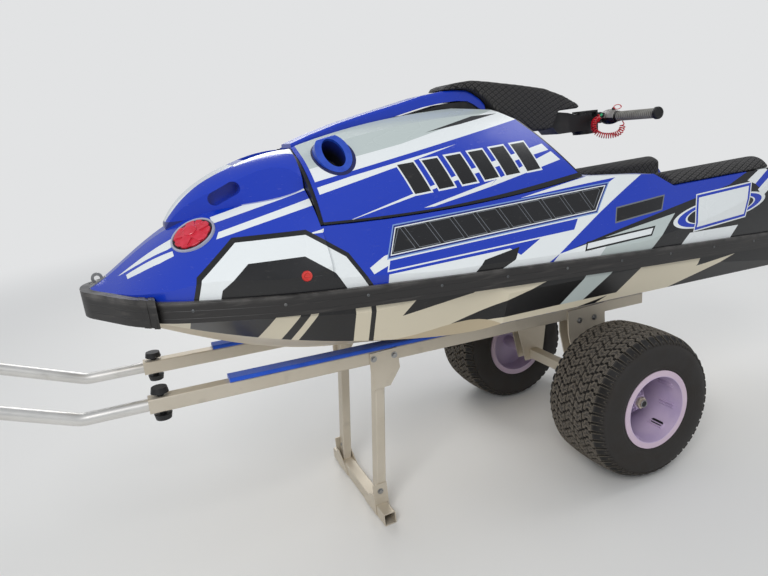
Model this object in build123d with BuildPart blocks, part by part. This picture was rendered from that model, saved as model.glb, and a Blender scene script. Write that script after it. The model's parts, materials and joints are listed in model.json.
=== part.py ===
from build123d import *
import os
from math import atan2, cos, pi, radians, sin, tan

# Stand-up personal watercraft on its two-wheeled beach trolley. Millimetres.
# X runs from bow (-) to stern (+), Y to starboard, Z up from the ground.
# Every x in the tables below is measured from the trolley's axle, aft positive.

# Jet pump from front to rear: tunnel, impeller, stator, cone, outlet, steering nozzle
TUNNEL_FRONT = 448.0
IMPELLER_FRONT = TUNNEL_FRONT + 52.0
IMPELLER_LENGTH = 78.0
IMPELLER_REAR = IMPELLER_FRONT + IMPELLER_LENGTH
STATOR_FRONT = IMPELLER_REAR + 7.0
STATOR_LENGTH = 25.0
PUMP_CONE = STATOR_FRONT + STATOR_LENGTH
CONE_LENGTH = 50.0
PUMP_REAR = PUMP_CONE + CONE_LENGTH
OUTLET_LENGTH = 40.0
OUTLET_END = PUMP_REAR + OUTLET_LENGTH
NOZZLE_X = OUTLET_END + 16.0
NOZZLE_LENGTH = 86.0

# Reach of the whole object each way from the axle
HANDLE_REACH = 1840.0
STERN_REACH = NOZZLE_X + NOZZLE_LENGTH
AXLE_X = (HANDLE_REACH - STERN_REACH) / 2

# Small distances shared by several pieces
GAP = 0.3
MOVING_GAP = 6.0
OVERRUN = 20.0

# Trolley rails, parallel square tubes with the nose higher than the tail
RAIL_SIZE = 38.0
RAIL_WALL = 3.0
RAIL_Y = 149.0
RAIL_Z = 466.0
RAIL_PITCH = 2.27
RAIL_FRONT = -1349.0
RAIL_REAR = 245.0
BUNK_T = 12.0
BUNK_W = 46.0
BUNK_FRONT = -1150.0

# Wheels
TRACK = 690.0
TYRE_R = 228.5
TYRE_W = 250.0
RIM_R = 118.0

# Half section of a tyre: in from the side, height above the axle
TYRE_SECTION = [
    (18.0, RIM_R + GAP),
    (3.0, RIM_R + 20.0),
    (0.0, RIM_R + 42.0),
    (4.0, TYRE_R - 38.0),
    (16.0, TYRE_R - 18.0),
    (40.0, TYRE_R - 6.0),
    (80.0, TYRE_R - 1.5),
]
RIM_INSET = 9.0
RIM_LIP = 16.0
BARREL_T = 6.0
BEAD_SEAT = 22.0
HUB_R = 21.0
HUB_IN = TRACK / 2 - 133.0
HUB_OUT = TRACK / 2 + 51.0
BEAM_HALF = HUB_IN - 12.0
PIN_END = HUB_OUT + 16.0
AXLE_SIZE = 36.0
PIN_R = 12.5
PIN_CLEARANCE = 0.05

# Stand under the front half of the rails
STAND_TOP_X = -735.0
STAND_FOOT_X = -784.0
STAND_HALF = 226.0
POST_SIZE = 28.0

# Tow handle, one bent tube that slides into both rails
HANDLE_TUBE_R = 15.8
HANDLE_TUBE_WALL = 2.5
HANDLE_IN = 160.0
HANDLE_BEND_X = -1500.0
HANDLE_RISE = 23.0
HANDLE_CORNER_R = 70.0

# Craft: joint plane of hull and deck, and the bottom
SHEER_Z = 658.0
SHEER_PITCH = 4.75
DEADRISE = 14.0
TRANSOM_X = 790.0

# Rail round the joint
BOND_T = 12.0
BOND_H = 50.0
BUMPER_T = 24.0
BUMPER_H = 66.0
BUMPER_END_X = -1285.0

# Plan of the joint: x from the axle, half beam, corner radius
FLANGE = [
    (-1425.0, 36.0, 90.0),
    (-1292.0, 232.0, 260.0),
    (-1005.0, 326.0, 900.0),
    (-600.0, 334.0, 2500.0),
    (100.0, 326.0, 2500.0),
    (TRANSOM_X, 290.0, 22.0),
]

# Hull sections: x, half beam, chine half width, rise of the chine and of the keel at the bow
HULL_STATIONS = [
    (-1436.0, 70.0, 30.0, 222.0, 220.0),
    (-1300.0, 262.0, 122.0, 176.0, 163.0),
    (-1130.0, 322.0, 208.0, 112.0, 88.0),
    (-970.0, 346.0, 262.0, 66.0, 35.0),
    (-775.0, 352.0, 282.0, 26.0, 3.0),
    (-400.0, 352.0, 290.0, 0.0, 0.0),
]
HULL_AFT_BEAM = 318.0
HULL_AFT_CHINE = 288.0

# Front deck sections: x, half beam, side point (y, z), edge of the crown (y, z)
DECK_STATIONS = [
    (-1436.0, 70.0, 48.0, 797.0, 14.0, 806.0),
    (-1350.0, 215.0, 108.0, 822.0, 24.0, 852.0),
    (-1250.0, 290.0, 178.0, 858.0, 34.0, 914.0),
    (-1100.0, 332.0, 242.0, 876.0, 100.0, 962.0),
    (-885.0, 352.0, 276.0, 903.0, 172.0, 990.0),
]
HOOD_FRONT_X = -885.0

# Upright sides of the deck from the hood aft: x, half beam at the joint, half width at the top
SIDE_STATIONS = [
    (HOOD_FRONT_X, 352.0, 250.0),
    (-420.0, 350.0, 236.0),
    (-40.0, 345.0, 230.0),
    (160.0, 342.0, 244.0),
    (660.0, 325.0, 270.0),
    (TRANSOM_X + OVERRUN, 320.0, 284.0),
]
SIDE_TOP_Z = 960.0

# Top line of the deck in side view: hood shelf, gunwale step, pad shelf, stern slope
SHELF_FRONT_Z = 903.0
SHELF_MID = (-440.0, 890.0)
SHELF_REAR = (-60.0, 912.0)
STEP_TOP = (190.0, 887.0)
STEP_FOOT = (260.0, 841.0)
PAD_SHELF_END = (692.0, 843.0)
STERN_TOP = (TRANSOM_X, 705.0)

# Engine bay and engine
BAY_FRONT = -690.0
BAY_REAR = -130.0
BAY_HALF = 131.0
BAY_FLOOR = 525.0
ENGINE_FRONT = -630.0
ENGINE_LENGTH = 430.0
ENGINE_HALF = 118.0
ENGINE_FOOT = 16.0
ENGINE_HEIGHT = 250.0

# Standing tray
TRAY_FRONT_TOP = -8.0
TRAY_FRONT_FOOT = 92.0
TRAY_FLOOR_FRONT = 668.0
TRAY_FLOOR_REAR = 628.0
TRAY_HALF_FLOOR = 172.0
TRAY_HALF_TOP = 200.0
MAT_T = 8.0

# Nose cover: plan half width at front and rear, and sections
COVER_FRONT = (-1222.0, 44.0)
COVER_REAR = (HOOD_FRONT_X - 3.0, 172.0)
COVER_POCKET = (888.0, 945.0)
COVER_STATIONS = [
    (-1228.0, 60.0, 905.0, 40.0, 922.0, 16.0, 930.0),
    (-1195.0, 80.0, 905.0, 52.0, 962.0, 24.0, 976.0),
    (-1130.0, 105.0, 915.0, 76.0, 1000.0, 44.0, 1024.0),
    (-1050.0, 140.0, 930.0, 104.0, 1030.0, 60.0, 1058.0),
    (-885.0, 190.0, 950.0, 150.0, 1048.0, 90.0, 1088.0),
]

# Hood sections: x, seam (y, z), side point (y, z), ledge's outer edge (y, z), groove floor z
HOOD_STATIONS = [
    (HOOD_FRONT_X, 277.0, 880.0, 212.0, 990.0, 106.0, 1068.0, 1000.0),
    (-640.0, 276.0, 865.0, 218.0, 1003.0, 110.0, 1109.0, 1042.0),
    (-400.0, 272.0, 865.0, 216.0, 1010.0, 111.0, 1123.0, 1068.0),
    (0.0, 256.0, 890.0, 200.0, 1010.0, 106.0, 1110.0, 1035.0),
]
HOOD_T = 8.0
HOOD_SEAM = 3.0
HOOD_FRONT_SEAM = 12.0
LEDGE_RISE = 23.0
COVER_RIDGE_R = 10.0
HOOD_REAR = [(-420.0, 1152.0), (-312.0, 1137.0), (-266.0, 1130.0), (-207.0, 1090.0), (-68.0, 912.0), (-38.0, 874.0)]
GROOVE_HALF = 58.0
VENT_PLACE = (-788.0, 150.0, 1062.0)
VENT_NORMAL = (-0.1, 0.78, 0.62)
VENT_OUTER = (52.0, 70.0)
VENT_INNER = (27.0, 46.0)
VENT_SINK = -25.0
VENT_RISE = 9.0

# Handle pole
PIVOT = (-965.0, 1034.0)
PIVOT_R = 27.0
POLE_HALF = 44.0
POLE_TOP = [(-389.0, 1162.0), (-320.0, 1162.0), (-262.0, 1138.0), (60.0, 1094.0), (112.0, 1080.0), (150.0, 1080.0)]
POLE_BOTTOM = [(150.0, 1031.0), (17.0, 1031.0), (-4.0, 1054.0), (-100.0, 1061.0), (-330.0, 1108.0), (-389.0, 1104.0)]
COVER_TOP_LINE = [
    (-870.0, 1101.0),
    (-815.0, 1118.0),
    (-730.0, 1140.0),
    (-642.0, 1158.0),
    (-552.0, 1174.0),
    (-468.0, 1190.0),
    (-400.0, 1197.0),
    (-352.0, 1198.0),
    (-318.0, 1194.0),
    (-298.0, 1184.0),
    (-271.0, 1165.0),
    (-258.0, 1150.0),
]
POLE_COVER_HALF = 50.0
POLE_COVER_SKIRT = 32.0
COVER_CROWN_R = 8.0
SLOT_FLOOR_Z = PIVOT[1] - PIVOT_R - MOVING_GAP
CHEEK_T = 5.5
CHIN_HALF = 78.0
PAD_SIDE = [
    (-394.0, 1200.0),
    (-386.0, 1210.0),
    (-362.0, 1216.0),
    (-310.0, 1219.0),
    (-250.0, 1211.0),
    (-140.0, 1192.0),
    (-57.0, 1176.0),
    (22.0, 1150.0),
    (92.0, 1121.0),
    (105.0, 1112.0),
    (98.0, 1105.0),
    (0.0, 1104.0),
    (-28.0, 1056.0),
    (-46.0, 1050.0),
    (-100.0, 1051.0),
    (-232.0, 1128.0),
    (-256.0, 1154.0),
    (-271.0, 1168.0),
    (-300.0, 1188.0),
    (-330.0, 1198.0),
]
CHIN_PLAN = [(-394.0, 52.0), (-340.0, 72.0), (-60.0, 78.0), (20.0, 68.0), (105.0, 46.0)]

# Steering fork and bars
STEER_X = 150.0
STEER_R = 33.0
HEAD_LOW = 1025.0
HEAD_HIGH = 1086.0
HEAD_WASHER = 1.0
SPINDLE_R = 12.0
FORK_BACK = 196.0
BAR_X = 207.0
BAR_Z = 1066.0
BAR_R = 11.0
BAR_HALF = 272.0
BAR_WALL = 2.5
BAR_CAP = 4.0
GRIP_LENGTH = 169.0
GRIP_R = 15.5
GRIP_END = 14.0
GRIP_RINGS = [
    (BAR_HALF - GRIP_LENGTH, GRIP_LENGTH, GRIP_R),
    (BAR_HALF - GRIP_END, GRIP_END, GRIP_R + 3.0),
]
FORK_T = 6.0
FORK_HALF = 30.0
HOUSING_SIZE = (46.0, 50.0)

# Control housings on the bar: side, start from the middle, length
CONTROLS = [(-1, 36.0, 64.0), (1, 36.0, 60.0)]

# Curly lanyard under the port control: offset from the bar, y, z
LANYARD_R = 5.5
LANYARD_POINTS = [
    (2.0 - HOUSING_SIZE[0] / 2 - GAP, -54.0, 1064.0),
    (-44.0, -54.0, 1064.0),
    (-62.0, -61.0, 1050.0),
    (-65.0, -67.0, 1030.0),
    (-53.0, -75.0, 1014.0),
    (-31.0, -88.0, 1007.0),
    (-10.0, -103.0, 1008.0),
    (0.0, -117.0, 1017.0),
    (1.0, -124.0, 1034.0),
    (0.0, -124.0, BAR_Z - GRIP_R - GAP),
]

# Sections of the jet pump
PUMP_Z = 516.0
PUMP_BORE = 66.0
PUMP_R = 70.0
NOZZLE_R = 60.0
NOZZLE_WALL = 5.0
NOZZLE_MOUTH_R = 36.0
NOZZLE_PIN_R = 5.0
OUTLET_R = 42.0
OUTLET_WALL = 5.0
EAR_T = 7.0
BULB_R = 30.0
VANES = 5
BLADES = 3
BLADE_TIP = 60.0
BLADE_T = 3.5

# Blade sections: radius, pitch angle, chord
BLADE_SECTIONS = [(20.0, 58.0, 56.0), (BLADE_TIP + 2, 34.0, 76.0)]
SHAFT_R = 10.0
SHAFT_FRONT = 80.0
TUNNEL_HALF = 90.0
TUNNEL_TOP = 590.0
INTAKE_FRONT = 165.0
INTAKE_HALF = 60.0
PLATE_T = 8.0
PLATE_END = OUTLET_END - 4.0

# Fuel cap on the port foredeck: place, outward direction, sizes
CAP_PLACE = (-1165.0, -132.0, 914.0)
CAP_NORMAL = (-0.364, -0.425, 0.83)
CAP_R = 52.0
CAP_SINK = 30.0
CAP_SEAT_H = 6.0
CAP_H = 14.0

# Bow eye on the nose of the deck
EYE_X = -1405.0
EYE_R = 14.0
EYE_WIRE = 3.5
EYE_Z = 829.0

# Gunwale pads: x, outer and inner half width, height of the shelf
PAD_STATIONS = [(265.0, 274.0, 168.0, 841.0), (690.0, 285.0, 174.0, 843.5)]
PAD_T = 38.0
PAD_HOOK = 40.0

# Trolley fittings
KNOB_R = 22.0
WEB_SHIFT = -50.0
WEB_T = 6.0
RIBS = 10
RIB_DEPTH = 8.0
RIB_T = 5.0
HANGER_TOP = 75.0
HANGER_FOOT = 38.0
HANGER_T = 5.0
PLATE_OUTLINE = [(-30.0, 16.0), (54.0, 16.0), (57.0, -45.0), (22.0, -92.0), (-34.0, -94.0)]
PLATE_WALL = 5.0
BRACKET_H = 66.0
BRACKET_WING_H = 30.0
BRACKET_T = 3.0

LABELS = []


def at(x):
    """Row X of a place given from the axle."""
    return AXLE_X + x


def rail_height(x):
    """Centre height of the trolley rails."""
    return RAIL_Z - x * tan(radians(RAIL_PITCH))


def sheer_height(x):
    """Height of the joint plane of hull and deck."""
    return SHEER_Z - x * tan(radians(SHEER_PITCH))


def keel_height(x):
    """Straight keel line of the after body, so that the bottom rests on both bunks."""
    on_bunks = rail_height(x) + RAIL_SIZE / 2 + BUNK_T
    return on_bunks - RAIL_Y * tan(radians(DEADRISE))


def bottom_height(x, y):
    """Height of the planing bottom of the after body."""
    return keel_height(x) + abs(y) * tan(radians(DEADRISE))


def vent_plane(side):
    """Plane on the hood's shoulder, facing out, for one vent."""
    x, y, z = VENT_PLACE
    nx, ny, nz = VENT_NORMAL
    return Plane(origin=(at(x), side * y, z), x_dir=(1, 0, -nx / nz), z_dir=(nx, side * ny, nz))


CAP_PLANE = Plane(origin=(at(CAP_PLACE[0]), CAP_PLACE[1], CAP_PLACE[2]), z_dir=CAP_NORMAL)


def round_both(piece, x, y, z, radius):
    """Round the two edges that pass nearest to a point and to its mirror image."""
    edges = []
    for side in (-1, 1):
        edges.append(piece.edges().sort_by_distance((at(x), side * y, z))[0])
    fillet(edges, radius=radius)


def keep(piece, name):
    """Label a finished piece and write it."""
    piece.part.label = name
    export_step(piece.part, "parts/" + name + ".step")
    LABELS.append(name)


os.makedirs("parts", exist_ok=True)


# Plan outlines of the joint, used by hull, deck, rail and bumper
def flange_outline(grow):
    """Sketch of the joint's plan, moved outwards by grow."""
    port = [(at(x), -y) for x, y, r in FLANGE]
    starboard = [(at(x), y) for x, y, r in reversed(FLANGE)]
    with BuildSketch() as plan:
        with BuildLine():
            Polyline(*port, *starboard, close=True)
        make_face()
        for x, y, r in FLANGE:
            for side in (-1, 1):
                corner = plan.vertices().sort_by_distance((at(x), side * y))[0]
                fillet(corner, radius=r)
        if grow:
            offset(amount=grow)
    return plan.sketch


FLANGE_FACE = flange_outline(0)
BOND_FACE = flange_outline(BOND_T)
BUMPER_FACE = flange_outline(BUMPER_T)

FAR = 3000.0


def side_profile(points, half, y=0.0):
    """Closed side-view outline, points (x, z) from the axle, extruded both ways in Y."""
    with BuildPart() as slab:
        with BuildSketch(Plane.XZ.offset(-y)):
            with BuildLine():
                Polyline(*[(at(x), z) for x, z in points], close=True)
            make_face()
        extrude(amount=half, both=True)
    return slab.part


def joint_slab(low, high):
    """Slab between two heights above the joint plane, as wide as the craft."""
    x0 = -FAR / 2
    x1 = FAR / 2
    return side_profile(
        [
            (x0, sheer_height(x0) + low),
            (x1, sheer_height(x1) + low),
            (x1, sheer_height(x1) + high),
            (x0, sheer_height(x0) + high),
        ],
        FAR / 2,
    )


# Hull bottom
with BuildPart() as hull_bottom:
    for x, beam, chine, chine_rise, keel_rise in HULL_STATIONS:
        chine_z = bottom_height(x, chine) + chine_rise
        keel_z = keel_height(x) + keel_rise
        with BuildSketch(Plane.YZ.offset(at(x))):
            with BuildLine():
                Polyline(
                    (-beam, sheer_height(x)),
                    (-chine, chine_z),
                    (0, keel_z),
                    (chine, chine_z),
                    (beam, sheer_height(x)),
                    close=True,
                )
            make_face()
    loft()
    aft = [(HULL_STATIONS[-1][0], HULL_STATIONS[-1][1], HULL_STATIONS[-1][2])]
    aft.append((TRANSOM_X + OVERRUN, HULL_AFT_BEAM, HULL_AFT_CHINE))
    for x, beam, chine in aft:
        with BuildSketch(Plane.YZ.offset(at(x))):
            with BuildLine():
                Polyline(
                    (-beam, sheer_height(x)),
                    (-chine, bottom_height(x, chine)),
                    (0, keel_height(x)),
                    (chine, bottom_height(x, chine)),
                    (beam, sheer_height(x)),
                    close=True,
                )
            make_face()
    loft(ruled=True)
    with BuildSketch():
        add(FLANGE_FACE)
    extrude(amount=FAR, mode=Mode.INTERSECT)
    # Lower half of the engine bay
    with BuildSketch(Plane.XY.offset(BAY_FLOOR)):
        with Locations((at((BAY_FRONT + BAY_REAR) / 2), 0)):
            Rectangle(BAY_REAR - BAY_FRONT, 2 * BAY_HALF)
    extrude(amount=300, mode=Mode.SUBTRACT)
    # Pump tunnel, open below and at the stern
    with BuildSketch(Plane.XZ):
        with BuildLine():
            Polyline(
                (at(TUNNEL_FRONT), 300),
                (at(TRANSOM_X + 50), 300),
                (at(TRANSOM_X + 50), TUNNEL_TOP),
                (at(TUNNEL_FRONT), TUNNEL_TOP),
                close=True,
            )
        make_face()
    extrude(amount=TUNNEL_HALF, both=True, mode=Mode.SUBTRACT)
    # Intake duct that rises aft to the pump
    with BuildSketch(Plane.XZ):
        with BuildLine():
            Polyline(
                (at(INTAKE_FRONT), 300),
                (at(TUNNEL_FRONT + 5), 300),
                (at(TUNNEL_FRONT + 5), TUNNEL_TOP - 12),
                (at(TUNNEL_FRONT - 60), TUNNEL_TOP - 20),
                (at(INTAKE_FRONT), keel_height(INTAKE_FRONT) + 30),
                close=True,
            )
        make_face()
    extrude(amount=INTAKE_HALF, both=True, mode=Mode.SUBTRACT)
    # Bore for the drive shaft, blind at the engine end
    with BuildSketch(Plane.YZ.offset(at(60))):
        with Locations((0, PUMP_Z)):
            Circle(SHAFT_R + MOVING_GAP)
    extrude(amount=240, mode=Mode.SUBTRACT)
keep(hull_bottom, "hull_bottom")


# Deck: curved foredeck, then upright sides with the shelf, bay and tray cut in
def foredeck():
    """Foredeck ahead of the hood, with round shoulders."""
    with BuildPart() as fore:
        for x, beam, side_y, side_z, top_y, top_z in DECK_STATIONS:
            low = sheer_height(x)
            with BuildSketch(Plane.YZ.offset(at(x))):
                with BuildLine():
                    ThreePointArc((-beam, low), (-side_y, side_z), (-top_y, top_z))
                    Line((-top_y, top_z), (top_y, top_z))
                    ThreePointArc((top_y, top_z), (side_y, side_z), (beam, low))
                    Line((beam, low), (-beam, low))
                make_face()
        loft()
    return fore.part


with BuildPart() as deck:
    for x, beam, top in SIDE_STATIONS:
        with BuildSketch(Plane.YZ.offset(at(x))):
            with BuildLine():
                Polyline(
                    (-beam, sheer_height(x)),
                    (-top, SIDE_TOP_Z),
                    (top, SIDE_TOP_Z),
                    (beam, sheer_height(x)),
                    close=True,
                )
            make_face()
    loft(ruled=True)
    with BuildSketch(Plane.XZ):
        with BuildLine():
            ThreePointArc(
                (at(HOOD_FRONT_X), SHELF_FRONT_Z),
                (at(SHELF_MID[0]), SHELF_MID[1]),
                (at(SHELF_REAR[0]), SHELF_REAR[1]),
            )
            Polyline(
                (at(SHELF_REAR[0]), SHELF_REAR[1]),
                (at(STEP_TOP[0]), STEP_TOP[1]),
                (at(STEP_FOOT[0]), STEP_FOOT[1]),
                (at(PAD_SHELF_END[0]), PAD_SHELF_END[1]),
                (at(STERN_TOP[0]), STERN_TOP[1]),
                (at(TRANSOM_X + 2 * OVERRUN), STERN_TOP[1] - OVERRUN),
                (at(TRANSOM_X + 2 * OVERRUN), 400),
                (at(HOOD_FRONT_X), 400),
                (at(HOOD_FRONT_X), SHELF_FRONT_Z),
            )
        make_face()
    extrude(amount=500, both=True, mode=Mode.INTERSECT)
    # Tray, open at the stern: its cross-section and its side view
    with BuildPart(mode=Mode.PRIVATE) as tray:
        with BuildSketch(Plane.YZ.offset(at(TRAY_FRONT_TOP))):
            with BuildLine():
                Polyline(
                    (-TRAY_HALF_FLOOR, TRAY_FLOOR_REAR - 60),
                    (TRAY_HALF_FLOOR, TRAY_FLOOR_REAR - 60),
                    (TRAY_HALF_FLOOR, TRAY_FLOOR_REAR),
                    (TRAY_HALF_TOP, SIDE_TOP_Z),
                    (-TRAY_HALF_TOP, SIDE_TOP_Z),
                    (-TRAY_HALF_FLOOR, TRAY_FLOOR_REAR),
                    close=True,
                )
            make_face()
        extrude(amount=TRANSOM_X - TRAY_FRONT_TOP + 40)
        add(
            side_profile(
                [
                    (TRAY_FRONT_TOP, SIDE_TOP_Z + 10),
                    (TRAY_FRONT_FOOT, TRAY_FLOOR_FRONT),
                    (TRANSOM_X + 50, TRAY_FLOOR_REAR),
                    (TRANSOM_X + 50, SIDE_TOP_Z + 10),
                ],
                400.0,
            ),
            mode=Mode.INTERSECT,
        )
    add(tray.part, mode=Mode.SUBTRACT)
    # Upper half of the engine bay
    with BuildSketch(Plane.XY.offset(BAY_FLOOR)):
        with Locations((at((BAY_FRONT + BAY_REAR) / 2), 0)):
            Rectangle(BAY_REAR - BAY_FRONT, 2 * BAY_HALF)
    extrude(amount=500, mode=Mode.SUBTRACT)
    add(foredeck())
    with BuildSketch():
        add(FLANGE_FACE)
    extrude(amount=FAR, mode=Mode.INTERSECT)
    # Pocket that the nose cover sits in
    with BuildSketch(Plane.XY.offset(700)) as pocket_plan:
        with BuildLine():
            Polyline(
                (at(COVER_FRONT[0]), -COVER_FRONT[1]),
                (at(HOOD_FRONT_X + 1), -COVER_REAR[1]),
                (at(HOOD_FRONT_X + 1), COVER_REAR[1]),
                (at(COVER_FRONT[0]), COVER_FRONT[1]),
                close=True,
            )
        make_face()
    with BuildPart(mode=Mode.PRIVATE) as pocket:
        with BuildSketch(Plane.XY.offset(700)):
            add(pocket_plan.sketch)
        extrude(amount=500)
        add(
            side_profile(
                [
                    (COVER_FRONT[0] - 10, COVER_POCKET[0]),
                    (HOOD_FRONT_X + 10, COVER_POCKET[1]),
                    (HOOD_FRONT_X + 10, 1200),
                    (COVER_FRONT[0] - 10, 1200),
                ],
                400.0,
            ),
            mode=Mode.INTERSECT,
        )
    add(pocket.part, mode=Mode.SUBTRACT)
keep(deck, "deck")


# Bond rail and nose bumper
with BuildPart() as bond_rail:
    with BuildSketch():
        add(BOND_FACE)
        add(FLANGE_FACE, mode=Mode.SUBTRACT)
        with Locations((at(TRANSOM_X) - 15 + FAR / 2, 0)):
            Rectangle(FAR, FAR, mode=Mode.SUBTRACT)
        with Locations((at(BUMPER_END_X) - FAR / 2, 0)):
            Rectangle(FAR, FAR, mode=Mode.SUBTRACT)
    extrude(amount=FAR)
    add(joint_slab(-BOND_H / 2, BOND_H / 2), mode=Mode.INTERSECT)
keep(bond_rail, "bond_rail")

with BuildPart() as nose_bumper:
    with BuildSketch():
        add(BUMPER_FACE)
        add(FLANGE_FACE, mode=Mode.SUBTRACT)
        with Locations((at(BUMPER_END_X) + FAR / 2, 0)):
            Rectangle(FAR, FAR, mode=Mode.SUBTRACT)
    extrude(amount=FAR)
    add(joint_slab(-BUMPER_H / 2, BUMPER_H / 2), mode=Mode.INTERSECT)
keep(nose_bumper, "nose_bumper")


# Nose cover with two air scoops and the slot for the pole's front end
with BuildPart() as nose_cover:
    for x, base_y, base_z, side_y, side_z, top_y, top_z in COVER_STATIONS:
        with BuildSketch(Plane.YZ.offset(at(x))):
            with BuildLine():
                Line((base_y, 860), (-base_y, 860))
                Line((-base_y, 860), (-base_y, base_z))
                ThreePointArc((-base_y, base_z), (-side_y, side_z), (-top_y, top_z))
                Line((-top_y, top_z), (top_y, top_z))
                ThreePointArc((top_y, top_z), (side_y, side_z), (base_y, base_z))
                Line((base_y, base_z), (base_y, 860))
            make_face()
    loft()
    round_both(nose_cover, COVER_STATIONS[2][0], *COVER_STATIONS[2][5:7], COVER_RIDGE_R)
    add(pocket.part, mode=Mode.INTERSECT)
    # Slot for the pole, open upwards and aft so that the arm can be raised
    with BuildSketch(Plane.XZ):
        with Locations((at(PIVOT[0]) - PIVOT_R - MOVING_GAP, SLOT_FLOOR_Z)):
            slot = Rectangle(FAR, FAR, align=(Align.MIN, Align.MIN))
        fillet(slot.vertices().sort_by(Axis.X)[:2].sort_by(Axis.Y)[0], radius=PIVOT_R)
    extrude(amount=POLE_HALF + 2 * MOVING_GAP, both=True, mode=Mode.SUBTRACT)
    # Air scoop mouths
    for side in (-1, 1):
        with BuildSketch(Plane.XZ.offset(-side * 62)):
            with Locations((at(-1072), 1000)):
                SlotOverall(84, 34, rotation=24)
        extrude(amount=-side * 90, mode=Mode.SUBTRACT)
keep(nose_cover, "nose_cover")


# Hood: outer form less inner form, cut to the shelf and to the rear slope
def hood_section(station, inset):
    """Cross-section of the hood at one station, inset by a wall."""
    x, seam_y, seam_z, side_y, side_z, ledge_y, ledge_z, floor_z = station
    sy = seam_y - inset
    my = side_y - inset * 0.8
    mz = side_z - inset * 0.6
    ly = ledge_y - inset * 0.2
    lz = ledge_z - inset
    gy = GROOVE_HALF + inset
    crest = lz + LEDGE_RISE
    floor = floor_z - inset
    with BuildSketch() as section:
        with BuildLine():
            Line((sy, seam_z), (-sy, seam_z))
            ThreePointArc((-sy, seam_z), (-my, mz), (-ly, lz))
            Polyline((-ly, lz), (-gy, crest), (-gy, floor), (gy, floor), (gy, crest), (ly, lz))
            ThreePointArc((ly, lz), (my, mz), (sy, seam_z))
        make_face()
    return section.sketch


def hood_form(inset, cut_shift):
    """Hood's outer form, or its inside when inset by the wall."""
    with BuildPart() as form:
        for station in HOOD_STATIONS:
            x = station[0]
            if x == HOOD_FRONT_X:
                x = x + HOOD_FRONT_SEAM + inset
            with BuildSketch(Plane.YZ.offset(at(x))):
                add(hood_section(station, inset))
        loft()
        # Rear slope
        with BuildSketch(Plane.XZ):
            with BuildLine():
                Polyline(
                    *[(at(x - cut_shift), z) for x, z in HOOD_REAR],
                    (at(200), HOOD_REAR[-1][1]),
                    (at(200), HOOD_REAR[0][1] + 70),
                    (at(HOOD_REAR[0][0] - cut_shift), HOOD_REAR[0][1] + 70),
                    close=True,
                )
            make_face()
        extrude(amount=500, both=True, mode=Mode.SUBTRACT)
    return form.part


with BuildPart() as hood:
    add(hood_form(0, 0))
    add(hood_form(HOOD_T, HOOD_T * 1.5), mode=Mode.SUBTRACT)
    # Everything below the shelf line, raised by the seam
    with BuildSketch(Plane.XZ):
        with BuildLine():
            ThreePointArc(
                (at(HOOD_FRONT_X) - 5, SHELF_FRONT_Z + HOOD_SEAM),
                (at(SHELF_MID[0]), SHELF_MID[1] + HOOD_SEAM),
                (at(SHELF_REAR[0]) + 5, SHELF_REAR[1] + HOOD_SEAM),
            )
            Polyline(
                (at(SHELF_REAR[0]) + 5, SHELF_REAR[1] + HOOD_SEAM),
                (at(100), SHELF_REAR[1] + HOOD_SEAM),
                (at(100), 700),
                (at(HOOD_FRONT_X) - 5, 700),
                (at(HOOD_FRONT_X) - 5, SHELF_FRONT_Z + HOOD_SEAM),
            )
        make_face()
    extrude(amount=500, both=True, mode=Mode.SUBTRACT)
    # Two vent openings through the skin
    for side in (-1, 1):
        with BuildSketch(vent_plane(side)):
            Ellipse(VENT_INNER[0], VENT_INNER[1])
        extrude(amount=40, both=True, mode=Mode.SUBTRACT)
keep(hood, "hood")

with BuildPart() as hood_vents:
    for side in (-1, 1):
        with BuildSketch(vent_plane(side).offset(VENT_SINK)):
            Ellipse(VENT_OUTER[0], VENT_OUTER[1])
        extrude(amount=VENT_RISE - VENT_SINK, taper=12)
    add(hood_form(0, 0), mode=Mode.SUBTRACT)
    # Flush with the crest
    crest = [(station[0], station[6] + LEDGE_RISE) for station in HOOD_STATIONS[:2]]
    above = [(x, z + 200) for x, z in reversed(crest)]
    add(side_profile([*crest, *above], 400.0), mode=Mode.SUBTRACT)
    for side in (-1, 1):
        with BuildSketch(vent_plane(side).offset(VENT_SINK)):
            Ellipse(VENT_INNER[0], VENT_INNER[1])
        extrude(amount=2 * (VENT_RISE - VENT_SINK), mode=Mode.SUBTRACT)
keep(hood_vents, "hood_vents")

with BuildPart() as engine_block:
    engine_mid = at(ENGINE_FRONT + ENGINE_LENGTH / 2)
    with BuildSketch(Plane.XY.offset(BAY_FLOOR + ENGINE_FOOT)):
        with Locations((engine_mid, 0)):
            RectangleRounded(ENGINE_LENGTH, 2 * ENGINE_HALF, 20)
    extrude(amount=ENGINE_HEIGHT)
    with BuildSketch(Plane.XY.offset(BAY_FLOOR)):
        with Locations((engine_mid, 0)):
            with GridLocations(ENGINE_LENGTH - 90, 2 * ENGINE_HALF - 60, 2, 2):
                Circle(24)
    extrude(amount=ENGINE_FOOT)
keep(engine_block, "engine_block")


# Fuel cap: a short faceted cap on a round seat, square to the port foredeck
with BuildPart() as fuel_cap:
    with BuildSketch(CAP_PLANE.offset(-CAP_SINK)):
        Circle(CAP_R)
    extrude(amount=CAP_SINK + CAP_SEAT_H)
    with BuildSketch(CAP_PLANE.offset(CAP_SEAT_H)):
        RegularPolygon(CAP_R - 6, 10)
    extrude(amount=CAP_H, taper=14)
    add(deck.part, mode=Mode.SUBTRACT)
keep(fuel_cap, "fuel_cap")


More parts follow.
